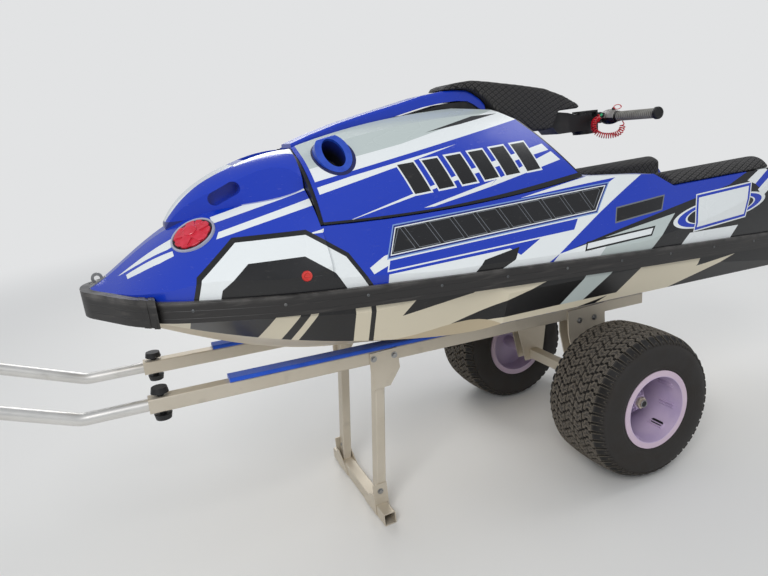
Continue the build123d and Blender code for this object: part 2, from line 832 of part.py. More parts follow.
# Tow ring in the bumper's nose
with BuildPart() as bow_eye:
    with BuildSketch(Plane.XZ):
        with Locations((at(EYE_X), EYE_Z)):
            Circle(EYE_R)
            Circle(EYE_R - 2 * EYE_WIRE, mode=Mode.SUBTRACT)
    extrude(amount=EYE_WIRE, both=True)
    add(deck.part, mode=Mode.SUBTRACT)
    add(nose_bumper.part, mode=Mode.SUBTRACT)
keep(bow_eye, "bow_eye")


# Tray mat and gunwale pads
with BuildPart() as tray_mat:
    mat_front = TRAY_FRONT_FOOT + 14
    with BuildSketch():
        with Locations((at((mat_front + TRANSOM_X - 12) / 2), 0)):
            RectangleRounded(TRANSOM_X - 12 - mat_front, 2 * (TRAY_HALF_FLOOR - 8), 20)
    extrude(amount=FAR)
    slope = (TRAY_FLOOR_REAR - TRAY_FLOOR_FRONT) / (TRANSOM_X + 50 - TRAY_FRONT_FOOT)
    floor_at = [(x, TRAY_FLOOR_FRONT + slope * (x - TRAY_FRONT_FOOT)) for x in (0, 1000)]
    add(
        side_profile(
            [
                floor_at[0],
                floor_at[1],
                (floor_at[1][0], floor_at[1][1] + MAT_T),
                (floor_at[0][0], floor_at[0][1] + MAT_T),
            ],
            400.0,
        ),
        mode=Mode.INTERSECT,
    )
keep(tray_mat, "tray_mat")


def gunwale_pad(side):
    """Soft roll along the top of one gunwale, hooked over its inner edge."""
    with BuildPart() as pad:
        for x, outer_y, inner_y, shelf_z in PAD_STATIONS:
            with BuildSketch(Plane.YZ.offset(at(x))):
                with BuildLine():
                    Line((side * inner_y, shelf_z - PAD_HOOK), (side * inner_y, shelf_z + PAD_T * 0.5))
                    ThreePointArc(
                        (side * inner_y, shelf_z + PAD_T * 0.5),
                        (side * (inner_y + outer_y) / 2, shelf_z + PAD_T),
                        (side * outer_y, shelf_z + GAP),
                    )
                    Polyline(
                        (side * outer_y, shelf_z + GAP),
                        (side * (TRAY_HALF_TOP - 14), shelf_z + GAP),
                        (side * (TRAY_HALF_TOP - 14), shelf_z - PAD_HOOK),
                        (side * inner_y, shelf_z - PAD_HOOK),
                    )
                make_face()
        loft(ruled=True)
        add(deck.part, mode=Mode.SUBTRACT)
    return pad


gunwale_pad_port = gunwale_pad(-1)
keep(gunwale_pad_port, "gunwale_pad_port")
gunwale_pad_starboard = gunwale_pad(1)
keep(gunwale_pad_starboard, "gunwale_pad_starboard")


# Bottom plates: ride plate under the pump, grate across the intake
def bottom_plate(x0, x1, half):
    """V-shaped plate that follows the planing bottom."""
    with BuildPart() as plate:
        for x in (x0, x1):
            with BuildSketch(Plane.YZ.offset(at(x))):
                with BuildLine():
                    Polyline(
                        (-half, bottom_height(x, half)),
                        (0, keel_height(x)),
                        (half, bottom_height(x, half)),
                        (half, bottom_height(x, half) - PLATE_T),
                        (0, keel_height(x) - PLATE_T),
                        (-half, bottom_height(x, half) - PLATE_T),
                        close=True,
                    )
                make_face()
        loft(ruled=True)
    return plate.part


with BuildPart() as ride_plate:
    add(bottom_plate(TUNNEL_FRONT - 14, PLATE_END, TUNNEL_HALF + 26))
keep(ride_plate, "ride_plate")

with BuildPart() as intake_grate:
    add(bottom_plate(INTAKE_FRONT - 26, TUNNEL_FRONT - 20, INTAKE_HALF + 20))
    slot_length = TUNNEL_FRONT - INTAKE_FRONT - 40
    with BuildSketch():
        with Locations((at(INTAKE_FRONT + 8 + slot_length / 2), 0)):
            with GridLocations(0, 2 * INTAKE_HALF / 4, 1, 4):
                RectangleRounded(slot_length, 2 * INTAKE_HALF / 4 - 8, 8)
    extrude(amount=FAR, mode=Mode.SUBTRACT)
keep(intake_grate, "intake_grate")


# Pump housing with stator vanes, set against the tunnel's front wall
PUMP_AXIS = Axis((0, 0, PUMP_Z), (1, 0, 0))


def turned(points):
    """Closed outline (x from the axle, radius) turned about the pump's axis."""
    with BuildPart() as body:
        with BuildSketch(Plane.XZ):
            with BuildLine():
                Polyline(*[(at(x), PUMP_Z + r) for x, r in points], close=True)
            make_face()
        revolve(axis=PUMP_AXIS)
    return body.part


with BuildPart() as pump_housing:
    add(
        turned(
            [
                (TUNNEL_FRONT, PUMP_BORE),
                (TUNNEL_FRONT, PUMP_R),
                (PUMP_CONE, PUMP_R),
                (PUMP_REAR, OUTLET_R),
                (OUTLET_END, OUTLET_R),
                (OUTLET_END, OUTLET_R - OUTLET_WALL),
                (PUMP_REAR, OUTLET_R - OUTLET_WALL),
                (PUMP_CONE, PUMP_BORE),
            ]
        )
    )
    # Bearing bulb and vanes behind the impeller
    add(
        turned(
            [
                (STATOR_FRONT, 0),
                (STATOR_FRONT, BULB_R),
                (PUMP_CONE, BULB_R),
                (PUMP_REAR - 5, 8),
                (PUMP_REAR, 0),
            ]
        )
    )
    for turn in range(VANES):
        with BuildPart(mode=Mode.PRIVATE) as vane:
            with BuildSketch(Plane.XZ):
                with Locations((at((STATOR_FRONT + PUMP_CONE + 12) / 2), PUMP_Z + (BULB_R + PUMP_BORE) / 2 - 2)):
                    Rectangle(PUMP_CONE + 12 - STATOR_FRONT, PUMP_BORE - BULB_R + 2)
            extrude(amount=2, both=True)
        add(vane.part.rotate(PUMP_AXIS, (turn + 0.5) * 360 / VANES))
    # Upper and lower ears that carry the nozzle's pins
    for side in (-1, 1):
        ear_low = NOZZLE_R + MOVING_GAP - 1
        ear_front = PUMP_CONE + 8
        with BuildSketch(Plane.XY.offset(PUMP_Z + side * ear_low)):
            with Locations((at((ear_front + NOZZLE_X) / 2), 0)):
                Rectangle(NOZZLE_X - ear_front, 26)
            with Locations((at(NOZZLE_X), 0)):
                Circle(13)
                Circle(NOZZLE_PIN_R + PIN_CLEARANCE, mode=Mode.SUBTRACT)
        extrude(amount=side * EAR_T)
        with BuildSketch(Plane.XZ):
            with BuildLine():
                Polyline(
                    (at(PUMP_CONE - 14), PUMP_Z + side * (PUMP_R - 3)),
                    (at(PUMP_CONE - 14), PUMP_Z + side * (ear_low + EAR_T)),
                    (at(ear_front + 4), PUMP_Z + side * (ear_low + EAR_T)),
                    (at(ear_front + 4), PUMP_Z + side * (PUMP_R - 14)),
                    close=True,
                )
            make_face()
        extrude(amount=13, both=True)
keep(pump_housing, "pump_housing")

with BuildPart() as steering_nozzle:
    add(
        turned(
            [
                (NOZZLE_X - 10, NOZZLE_R - NOZZLE_WALL),
                (NOZZLE_X - 10, NOZZLE_R),
                (NOZZLE_X + 12, NOZZLE_R),
                (STERN_REACH, NOZZLE_MOUTH_R + NOZZLE_WALL),
                (STERN_REACH, NOZZLE_MOUTH_R),
                (NOZZLE_X + 12, NOZZLE_R - NOZZLE_WALL),
            ]
        )
    )
    for side in (-1, 1):
        with BuildSketch(Plane.XY.offset(PUMP_Z + side * (NOZZLE_R - 3))):
            with Locations((at(NOZZLE_X), 0)):
                Circle(NOZZLE_PIN_R)
        extrude(amount=side * (MOVING_GAP + EAR_T + 2))
    # Steering arm on the starboard side
    with BuildSketch(Plane.XY.offset(PUMP_Z - 4)):
        with Locations((at(NOZZLE_X + 2), NOZZLE_R + 4)):
            RectangleRounded(20, 18, 4)
            Circle(3.5, mode=Mode.SUBTRACT)
    extrude(amount=8)
keep(steering_nozzle, "steering_nozzle")

# Impeller: hub, three twisted blades and the drive shaft
with BuildPart() as impeller:
    add(
        turned(
            [
                (SHAFT_FRONT, 0),
                (SHAFT_FRONT, SHAFT_R),
                (IMPELLER_FRONT - 24, SHAFT_R),
                (IMPELLER_FRONT, 24),
                (IMPELLER_REAR, BULB_R),
                (IMPELLER_REAR, 0),
            ]
        )
    )
    blade_mid = at((IMPELLER_FRONT + IMPELLER_REAR) / 2)
    with BuildPart(mode=Mode.PRIVATE) as blade:
        for radius, pitch, length in BLADE_SECTIONS:
            root = Plane(origin=(blade_mid, 0, PUMP_Z + radius), x_dir=(1, 0, 0), z_dir=(0, 0, 1))
            with BuildSketch(root):
                Rectangle(length, BLADE_T, rotation=90 - pitch)
        loft()
        with BuildSketch(Plane.YZ.offset(at(IMPELLER_FRONT - 20))):
            with Locations((0, PUMP_Z)):
                Circle(BLADE_TIP)
        extrude(amount=160, mode=Mode.INTERSECT)
    for turn in range(BLADES):
        add(blade.part.rotate(PUMP_AXIS, turn * 360 / BLADES))
keep(impeller, "impeller")


# Pole bracket: two cheeks on the slot's floor and the pivot pin between them
with BuildPart() as pole_bracket:
    for side in (-1, 1):
        with BuildSketch(Plane.XZ.offset(-side * (POLE_HALF + MOVING_GAP))):
            with Locations((at(PIVOT[0]), PIVOT[1])):
                Circle(PIVOT_R - 3)
            with Locations((at(PIVOT[0]), (PIVOT[1] + SLOT_FLOOR_Z) / 2)):
                Rectangle(2 * PIVOT_R - 6, PIVOT[1] - SLOT_FLOOR_Z)
        extrude(amount=-side * CHEEK_T)
    add(nose_cover.part, mode=Mode.SUBTRACT)
    with BuildSketch(Plane.XZ):
        with Locations((at(PIVOT[0]), PIVOT[1])):
            Circle(PIN_R)
    extrude(amount=POLE_HALF + MOVING_GAP + 1, both=True)
keep(pole_bracket, "pole_bracket")


# Pole arm, its cover and the chin pad
def arm_outline():
    """Side view of the arm from the pivot boss to the steering head."""
    boss_top = (PIVOT[0], PIVOT[1] + PIVOT_R)
    boss_bottom = (PIVOT[0], PIVOT[1] - PIVOT_R)
    return [boss_top, *POLE_TOP, *POLE_BOTTOM, boss_bottom]


with BuildPart() as pole_arm:
    add(side_profile(arm_outline(), POLE_HALF))
    with BuildSketch(Plane.XZ):
        with Locations((at(PIVOT[0]), PIVOT[1])):
            Circle(PIVOT_R)
    extrude(amount=POLE_HALF, both=True)
    with BuildSketch(Plane.XY.offset(HEAD_LOW)):
        with Locations((at(STEER_X), 0)):
            Circle(STEER_R)
    extrude(amount=HEAD_HIGH - HEAD_LOW)
    # Taper towards the steering head and a round end
    with BuildPart(mode=Mode.PRIVATE) as arm_plan:
        with BuildSketch():
            with Locations((at(STEER_X), 0)):
                Circle(STEER_R)
            with BuildLine():
                Polyline(
                    (at(PIVOT[0] - 60), -POLE_HALF),
                    (at(0), -POLE_HALF),
                    (at(STEER_X), -STEER_R),
                    (at(STEER_X), STEER_R),
                    (at(0), POLE_HALF),
                    (at(PIVOT[0] - 60), POLE_HALF),
                    close=True,
                )
            make_face()
        extrude(amount=FAR)
    add(arm_plan.part, mode=Mode.INTERSECT)
    with BuildSketch(Plane.XZ):
        with Locations((at(PIVOT[0]), PIVOT[1])):
            Circle(PIN_R + PIN_CLEARANCE)
    extrude(amount=POLE_HALF + 5, both=True, mode=Mode.SUBTRACT)
    with BuildSketch(Plane.XY.offset(HEAD_LOW - 5)):
        with Locations((at(STEER_X), 0)):
            Circle(SPINDLE_R + PIN_CLEARANCE)
    extrude(amount=HEAD_HIGH - HEAD_LOW + 10, mode=Mode.SUBTRACT)
keep(pole_arm, "pole_arm")

COVER_SIDE = [*COVER_TOP_LINE, *[(x, z - POLE_COVER_SKIRT) for x, z in reversed(COVER_TOP_LINE)]]
with BuildPart() as pole_cover:
    add(side_profile(COVER_SIDE, POLE_COVER_HALF))
    crown = pole_cover.faces().filter_by(lambda f: f.normal_at().Z > 0.5).edges()
    fillet(crown.filter_by(lambda e: abs(e.center().Y) > POLE_COVER_HALF - 1), radius=COVER_CROWN_R)
    add(side_profile(arm_outline(), POLE_HALF + GAP), mode=Mode.SUBTRACT)
keep(pole_cover, "pole_cover")

with BuildPart() as chin_pad:
    with BuildSketch(Plane.XZ):
        with BuildLine():
            Polyline(*[(at(x), z) for x, z in PAD_SIDE], close=True)
        make_face()
    extrude(amount=CHIN_HALF, both=True)
    with BuildSketch():
        with BuildLine():
            Polyline(*[(at(x), -y) for x, y in CHIN_PLAN], *[(at(x), y) for x, y in reversed(CHIN_PLAN)], close=True)
        make_face()
    extrude(amount=FAR, mode=Mode.INTERSECT)
    add(side_profile(arm_outline(), POLE_HALF + 1), mode=Mode.SUBTRACT)
    add(side_profile(COVER_SIDE, POLE_COVER_HALF + 1), mode=Mode.SUBTRACT)
keep(chin_pad, "chin_pad")


# Steering fork over and under the head, bars, grips and controls
with BuildPart() as steering_fork:
    fork_low = HEAD_LOW - HEAD_WASHER - FORK_T
    fork_high = HEAD_HIGH + HEAD_WASHER
    for z in (fork_low, fork_high):
        with BuildSketch(Plane.XY.offset(z)):
            with Locations((at(STEER_X), 0)):
                Circle(FORK_HALF)
            with Locations((at((STEER_X + FORK_BACK) / 2), 0)):
                Rectangle(FORK_BACK - STEER_X, 2 * FORK_HALF - 8)
        extrude(amount=FORK_T)
    with BuildSketch(Plane.XY.offset(fork_low)):
        with Locations((at(STEER_X), 0)):
            Circle(SPINDLE_R)
    extrude(amount=fork_high - fork_low)
    # Back plate and clamp round the bar
    with BuildSketch(Plane.XY.offset(fork_low)):
        with Locations((at(FORK_BACK - FORK_T / 2), 0)):
            Rectangle(FORK_T, 2 * FORK_HALF - 8)
    extrude(amount=fork_high + FORK_T - fork_low)
    with BuildSketch(Plane.XZ):
        with Locations((at(BAR_X), BAR_Z)):
            Circle(BAR_R + 7)
    extrude(amount=FORK_HALF - 4, both=True)
    with BuildSketch(Plane.XZ):
        with Locations((at(BAR_X), BAR_Z)):
            Circle(BAR_R + GAP / 3)
    extrude(amount=FORK_HALF + 5, both=True, mode=Mode.SUBTRACT)
keep(steering_fork, "steering_fork")

with BuildPart() as handlebar:
    with BuildSketch(Plane.XZ.offset(BAR_CAP - BAR_HALF)):
        with Locations((at(BAR_X), BAR_Z)):
            Circle(BAR_R)
            Circle(BAR_R - BAR_WALL, mode=Mode.SUBTRACT)
    extrude(amount=2 * (BAR_HALF - BAR_CAP))
keep(handlebar, "handlebar")

with BuildPart() as grips:
    for side in (-1, 1):
        # Sleeve and end cap: start from the middle, length, radius
        for start, length, radius in GRIP_RINGS:
            with BuildSketch(Plane.XZ.offset(-side * start)):
                with Locations((at(BAR_X), BAR_Z)):
                    Circle(radius)
            extrude(amount=-side * length)
    with BuildSketch(Plane.XZ):
        with Locations((at(BAR_X), BAR_Z)):
            Circle(BAR_R + GAP / 3)
    extrude(amount=BAR_HALF - BAR_CAP + GAP, both=True, mode=Mode.SUBTRACT)
keep(grips, "grips")

with BuildPart() as control_housings:
    for side, start, length in CONTROLS:
        with BuildSketch(Plane.XZ.offset(-side * start)):
            with Locations((at(BAR_X + 2), BAR_Z)):
                RectangleRounded(HOUSING_SIZE[0], HOUSING_SIZE[1], 14)
            with Locations((at(BAR_X), BAR_Z)):
                Circle(BAR_R + GAP / 3, mode=Mode.SUBTRACT)
        extrude(amount=-side * length)
keep(control_housings, "control_housings")

with BuildPart() as throttle_lever:
    lever_y = CONTROLS[1][1] + CONTROLS[1][2]
    with BuildSketch(Plane.XY.offset(BAR_Z - 4)):
        with BuildLine():
            Polyline(
                (at(BAR_X - 21), lever_y - 14),
                (at(BAR_X - 44), lever_y + 6),
                (at(BAR_X - 50), lever_y + 60),
                (at(BAR_X - 42), lever_y + 62),
                (at(BAR_X - 36), lever_y + 12),
                (at(BAR_X - 21), lever_y - 1),
                close=True,
            )
        make_face()
    extrude(amount=8)
keep(throttle_lever, "throttle_lever")

# Curly lanyard, one fat tube of the coil's outer diameter
LANYARD_ROUTE = [(BAR_X + x, y, z) for x, y, z in LANYARD_POINTS]
with BuildPart() as lanyard:
    radii = []
    points = [Vector(at(x), y, z) for x, y, z in LANYARD_ROUTE]
    for before, here, after in zip(points, points[1:], points[2:]):
        turn = radians((here - before).get_angle(after - here))
        radii.append(0.45 * min((here - before).length, (after - here).length) / tan(turn / 2))
    with BuildLine() as lanyard_path:
        FilletPolyline(*points, radius=radii)
    with BuildSketch(Plane(origin=points[0], z_dir=points[1] - points[0])):
        Circle(LANYARD_R)
    sweep()
keep(lanyard, "lanyard")


# Trolley rails and bunks
def rail_plane(x, y, lift):
    """Plane square to the rails at x, lifted from their centre line."""
    pitch = radians(RAIL_PITCH)
    origin = (at(x) + lift * sin(pitch), y, rail_height(x) + lift * cos(pitch))
    return Plane(origin=origin, x_dir=(0, 1, 0), z_dir=(cos(pitch), 0, -sin(pitch)))


def trolley_rail(side):
    """Square tube with open ends."""
    with BuildPart() as rail:
        with BuildSketch(rail_plane(RAIL_FRONT, side * RAIL_Y, 0)):
            RectangleRounded(RAIL_SIZE, RAIL_SIZE, 4)
            Rectangle(RAIL_SIZE - 2 * RAIL_WALL, RAIL_SIZE - 2 * RAIL_WALL, mode=Mode.SUBTRACT)
        extrude(amount=(RAIL_REAR - RAIL_FRONT) / cos(radians(RAIL_PITCH)))
    return rail


rail_port = trolley_rail(-1)
keep(rail_port, "rail_port")
rail_starboard = trolley_rail(1)
keep(rail_starboard, "rail_starboard")


def bunk(side):
    """Padded strip on top of one rail, trimmed to the hull where it bears."""
    with BuildPart() as strip:
        with BuildSketch(rail_plane(BUNK_FRONT, side * RAIL_Y, RAIL_SIZE / 2 + BUNK_T / 2)):
            RectangleRounded(BUNK_W, BUNK_T, 4)
        extrude(amount=(RAIL_REAR - BUNK_FRONT) / cos(radians(RAIL_PITCH)))
        add(hull_bottom.part, mode=Mode.SUBTRACT)
    return strip


bunk_port = bunk(-1)
keep(bunk_port, "bunk_port")
bunk_starboard = bunk(1)
keep(bunk_starboard, "bunk_starboard")

# Tow handle: two straight shanks in the rails, a rise and one cross run
with BuildPart() as tow_handle:
    pitch = radians(RAIL_PITCH)
    inner_x = RAIL_FRONT + HANDLE_IN
    bend_z = rail_height(HANDLE_BEND_X)
    rise = radians(HANDLE_RISE)
    tip_x = -(HANDLE_REACH - HANDLE_TUBE_R)
    tip_z = bend_z + (HANDLE_BEND_X - tip_x) * tan(rise)
    with BuildLine() as handle_path:
        FilletPolyline(
            (at(inner_x), -RAIL_Y, rail_height(inner_x)),
            (at(HANDLE_BEND_X), -RAIL_Y, bend_z),
            (at(tip_x), -RAIL_Y, tip_z),
            (at(tip_x), RAIL_Y, tip_z),
            (at(HANDLE_BEND_X), RAIL_Y, bend_z),
            (at(inner_x), RAIL_Y, rail_height(inner_x)),
            radius=HANDLE_CORNER_R,
        )
    with BuildSketch(rail_plane(inner_x, -RAIL_Y, 0)):
        Circle(HANDLE_TUBE_R)
        Circle(HANDLE_TUBE_R - HANDLE_TUBE_WALL, mode=Mode.SUBTRACT)
    sweep()
keep(tow_handle, "tow_handle")

# Star knobs above and below each rail that clamp the handle
with BuildPart() as clamp_knobs:
    knob_x = RAIL_FRONT + 30
    for side in (-1, 1):
        for up in (-1, 1):
            pitch = radians(RAIL_PITCH)
            seat = Plane(
                origin=(
                    at(knob_x) + up * RAIL_SIZE / 2 * sin(pitch),
                    side * RAIL_Y,
                    rail_height(knob_x) + up * RAIL_SIZE / 2 * cos(pitch),
                ),
                x_dir=(cos(pitch), 0, -sin(pitch)),
                z_dir=(up * sin(pitch), 0, up * cos(pitch)),
            )
            with BuildSketch(seat):
                Circle(8)
            extrude(amount=9)
            with BuildSketch(seat.offset(9)):
                Circle(KNOB_R)
            extrude(amount=14, taper=12)
keep(clamp_knobs, "clamp_knobs")


# Axle, its hangers and the stand
with BuildPart() as axle_beam:
    with BuildSketch(Plane.XZ):
        with Locations((at(0), TYRE_R)):
            RectangleRounded(AXLE_SIZE, AXLE_SIZE, 3)
    extrude(amount=BEAM_HALF, both=True)
    with BuildSketch(Plane.XZ):
        with Locations((at(0), TYRE_R)):
            Circle(PIN_R)
    extrude(amount=PIN_END, both=True)
    # Collar that keeps each wheel off the beam and a nut outside it
    with BuildSketch(Plane.XZ):
        with Locations((at(0), TYRE_R)):
            Circle(PIN_R + 5)
    extrude(amount=HUB_IN - 1, both=True)
    for side in (-1, 1):
        with BuildSketch(Plane.XZ.offset(-side * (HUB_OUT + 1))):
            with Locations((at(0), TYRE_R)):
                RegularPolygon(PIN_R + 6, 6)
        extrude(amount=-side * 9)
keep(axle_beam, "axle_beam")

with BuildPart() as axle_hangers:
    for side in (-1, 1):
        for face in (-1, 1):
            top_z = rail_height(HANGER_TOP) + RAIL_SIZE / 2 - 2
            inner = side * RAIL_Y + face * (RAIL_SIZE / 2 + GAP)
            with BuildSketch(Plane.XZ.offset(-inner)):
                with BuildLine():
                    Polyline(
                        (at(-HANGER_TOP), top_z),
                        (at(HANGER_TOP), top_z),
                        (at(HANGER_TOP), top_z - 80),
                        (at(HANGER_FOOT), TYRE_R - AXLE_SIZE / 2 - 6),
                        (at(-HANGER_FOOT), TYRE_R - AXLE_SIZE / 2 - 6),
                        (at(-HANGER_TOP), top_z - 80),
                        close=True,
                    )
                make_face()
            extrude(amount=-face * HANGER_T)
        # Web across the two plates, below the rail
        web_low = TYRE_R + AXLE_SIZE / 2 + 30
        web_high = rail_height(0) - RAIL_SIZE / 2 - 10
        with BuildSketch(Plane.XY.offset(web_low)):
            with Locations((at(0), side * RAIL_Y)):
                Rectangle(HANGER_T, RAIL_SIZE + 2 * GAP + 1)
        extrude(amount=web_high - web_low)
    add(axle_beam.part, mode=Mode.SUBTRACT)
keep(axle_hangers, "axle_hangers")

with BuildPart() as stand_crossbar:
    with BuildSketch(Plane.XZ.offset(-STAND_HALF)):
        with Locations((at(STAND_FOOT_X), RAIL_SIZE / 2)):
            RectangleRounded(RAIL_SIZE, RAIL_SIZE, 4)
            Rectangle(RAIL_SIZE - 2 * RAIL_WALL, RAIL_SIZE - 2 * RAIL_WALL, mode=Mode.SUBTRACT)
    extrude(amount=2 * STAND_HALF)
keep(stand_crossbar, "stand_crossbar")


def rail_underside(x):
    """Height of the rails' lower face."""
    return rail_height(x) - RAIL_SIZE / 2 / cos(radians(RAIL_PITCH))


with BuildPart() as stand_posts:
    lean = atan2(STAND_TOP_X - STAND_FOOT_X, rail_height(STAND_TOP_X) - RAIL_SIZE)
    for side in (-1, 1):
        foot = Plane(
            origin=(at(STAND_FOOT_X), side * RAIL_Y, RAIL_SIZE - 10),
            x_dir=(0, 1, 0),
            z_dir=(sin(lean), 0, cos(lean)),
        )
        with BuildSketch(foot):
            RectangleRounded(RAIL_SIZE, POST_SIZE, 3)
            Rectangle(RAIL_SIZE - 2 * RAIL_WALL, POST_SIZE - 2 * RAIL_WALL, mode=Mode.SUBTRACT)
        extrude(amount=rail_height(STAND_TOP_X))
    x0 = STAND_FOOT_X - 100
    x1 = STAND_TOP_X + 100
    trim = [(x0, RAIL_SIZE), (x1, RAIL_SIZE), (x1, rail_underside(x1)), (x0, rail_underside(x0))]
    add(side_profile(trim, 400.0), mode=Mode.INTERSECT)
keep(stand_posts, "stand_posts")

with BuildPart() as stand_plates:
    for side in (-1, 1):
        plate_y = side * (RAIL_Y + RAIL_SIZE / 2 + GAP)
        with BuildSketch(Plane.XZ.offset(-plate_y)):
            with BuildLine():
                Polyline(
                    *[(at(STAND_TOP_X + x), rail_height(STAND_TOP_X) + z) for x, z in PLATE_OUTLINE],
                    close=True,
                )
            make_face()
        extrude(amount=-side * PLATE_WALL)
keep(stand_plates, "stand_plates")

with BuildPart() as foot_brackets:
    for side in (-1, 1):
        web_y = side * (RAIL_Y + RAIL_SIZE / 2 + GAP)
        with BuildSketch(Plane.XZ.offset(-web_y)):
            with Locations((at(STAND_FOOT_X), (RAIL_SIZE + BRACKET_H) / 2 + 3)):
                Rectangle(RAIL_SIZE + 2 * GAP + 2 * BRACKET_T, RAIL_SIZE + BRACKET_H - 6)
            with Locations((at(STAND_FOOT_X), RAIL_SIZE / 2)):
                Rectangle(RAIL_SIZE + 2 * GAP, RAIL_SIZE + 2 * GAP, mode=Mode.SUBTRACT)
        extrude(amount=-side * BRACKET_T)
        for face in (-1, 1):
            face_x = at(STAND_FOOT_X) + face * (RAIL_SIZE / 2 + GAP)
            with BuildSketch(Plane.YZ.offset(face_x)):
                with BuildLine():
                    Polyline(
                        (web_y + side * BRACKET_T, RAIL_SIZE + BRACKET_WING_H),
                        (web_y + side * BRACKET_T, 6),
                        (web_y - side * 88, 6),
                        (web_y - side * 88, 20),
                        (web_y - side * 20, RAIL_SIZE + BRACKET_WING_H),
                        close=True,
                    )
                make_face()
            extrude(amount=face * BRACKET_T)
keep(foot_brackets, "foot_brackets")


# Wheels
def tyre(side):
    """Wide balloon tyre of plain round-shouldered section."""
    mid = side * TRACK / 2
    half = TYRE_W / 2
    inner = [(mid - half + inset, TYRE_R + height) for inset, height in TYRE_SECTION]
    outer = [(mid + half - inset, TYRE_R + height) for inset, height in reversed(TYRE_SECTION)]
    with BuildPart() as rubber:
        with BuildSketch(Plane.YZ.offset(at(0))):
            with BuildLine():
                Polyline(*inner, (mid, 2 * TYRE_R), *outer, close=True)
            make_face()
        revolve(axis=Axis((at(0), 0, TYRE_R), (0, 1, 0)))
    return rubber


def rim(side):
    """Barrel with a flange each side, a web near the inner face, ribs and a hub tube."""
    mid = side * TRACK / 2
    half = TYRE_W / 2 - RIM_INSET
    # Outside of the barrel: flange, bead seat and the drop between the seats
    seat = half - 4
    drop = seat - BEAD_SEAT
    barrel_in = RIM_R - RIM_LIP
    barrel_out = barrel_in + BARREL_T
    with BuildPart() as wheel:
        with BuildSketch(Plane.YZ.offset(at(0))):
            with BuildLine():
                Polyline(
                    (mid - half, TYRE_R + RIM_R + 3),
                    (mid - half, TYRE_R + barrel_in),
                    (mid + half, TYRE_R + barrel_in),
                    (mid + half, TYRE_R + RIM_R + 3),
                    (mid + half - 2.5, TYRE_R + RIM_R + 3),
                    (mid + seat, TYRE_R + RIM_R),
                    (mid + drop, TYRE_R + RIM_R),
                    (mid + drop - BARREL_T, TYRE_R + barrel_out),
                    (mid - drop + BARREL_T, TYRE_R + barrel_out),
                    (mid - drop, TYRE_R + RIM_R),
                    (mid - seat, TYRE_R + RIM_R),
                    (mid - half + 2.5, TYRE_R + RIM_R + 3),
                    close=True,
                )
            make_face()
        revolve(axis=Axis((at(0), 0, TYRE_R), (0, 1, 0)))
        # Hub tube and web
        hub_in = side * HUB_IN
        hub_out = side * HUB_OUT
        with BuildSketch(Plane.XZ.offset(-hub_in)):
            with Locations((at(0), TYRE_R)):
                Circle(HUB_R)
        extrude(amount=-(hub_out - hub_in))
        web_y = side * (TRACK / 2 + WEB_SHIFT)
        with BuildSketch(Plane.XZ.offset(-web_y)):
            with Locations((at(0), TYRE_R)):
                Circle(barrel_in + BARREL_T / 2)
        extrude(amount=-side * WEB_T)
        # Ribs that rise from the web's edge to the end of the hub
        rise = abs(hub_out - web_y) - RIB_T
        for turn in range(RIBS):
            c = cos(turn * 2 * pi / RIBS)
            s = sin(turn * 2 * pi / RIBS)
            rib_plane = Plane(
                origin=(at(0), web_y, TYRE_R),
                x_dir=(c, 0, s),
                z_dir=(-side * s, 0, side * c),
            )
            with BuildSketch(rib_plane):
                with BuildLine():
                    Polyline(
                        (HUB_R - 2, 0),
                        (HUB_R - 2, rise),
                        (HUB_R + RIB_T, rise),
                        (barrel_in + 1, RIB_DEPTH),
                        (barrel_in + 1, 0),
                        close=True,
                    )
                make_face()
            extrude(amount=RIB_T / 2, both=True)
        with BuildSketch(Plane.XZ):
            with Locations((at(0), TYRE_R)):
                Circle(PIN_R + PIN_CLEARANCE)
        extrude(amount=FAR, both=True, mode=Mode.SUBTRACT)
    return wheel


for side, name in ((-1, "port"), (1, "starboard")):
    keep(tyre(side), "tyre_" + name)
    keep(rim(side), "rim_" + name)

print(len(LABELS), "pieces")
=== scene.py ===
import json
from functools import cache
from math import cos, pi, radians, sin, sqrt, tan

import bmesh
import bpy
from bpy.props import FloatProperty, FloatVectorProperty, IntProperty, PointerProperty
from mathutils import Matrix, Vector
from mathutils.bvhtree import BVHTree


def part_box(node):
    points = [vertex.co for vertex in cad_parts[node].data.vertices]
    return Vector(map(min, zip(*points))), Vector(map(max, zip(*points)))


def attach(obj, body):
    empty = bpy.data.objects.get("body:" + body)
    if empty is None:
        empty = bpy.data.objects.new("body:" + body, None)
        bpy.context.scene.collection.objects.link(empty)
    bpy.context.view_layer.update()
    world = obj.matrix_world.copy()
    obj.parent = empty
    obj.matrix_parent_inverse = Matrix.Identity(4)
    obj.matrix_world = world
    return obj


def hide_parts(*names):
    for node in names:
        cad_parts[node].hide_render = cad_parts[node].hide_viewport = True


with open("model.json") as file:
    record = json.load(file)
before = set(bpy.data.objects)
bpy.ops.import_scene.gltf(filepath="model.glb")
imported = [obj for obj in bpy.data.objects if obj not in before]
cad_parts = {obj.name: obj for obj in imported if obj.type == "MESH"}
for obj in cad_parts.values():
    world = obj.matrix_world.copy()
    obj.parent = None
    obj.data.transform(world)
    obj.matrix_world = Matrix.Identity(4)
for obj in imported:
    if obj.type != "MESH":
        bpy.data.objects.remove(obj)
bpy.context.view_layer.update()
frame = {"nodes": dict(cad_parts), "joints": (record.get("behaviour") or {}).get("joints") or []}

bl_info = {
    "name": "Stand-up Watercraft on Trolley",
    "version": (1, 0, 0),
    "blender": (4, 5, 0),
    "location": "3D View > Sidebar > Watercraft",
    "description": "Dresses a stand-up personal watercraft and its beach trolley",
    "category": "Object",
}

NODES = frame["nodes"]
JOINTS = {joint["name"]: Vector(joint["pos_m"]) for joint in frame["joints"]}

# Rings of the grips: where they begin and their spacing
GRIP_START = 0.111
GRIP_PITCH = 0.0076

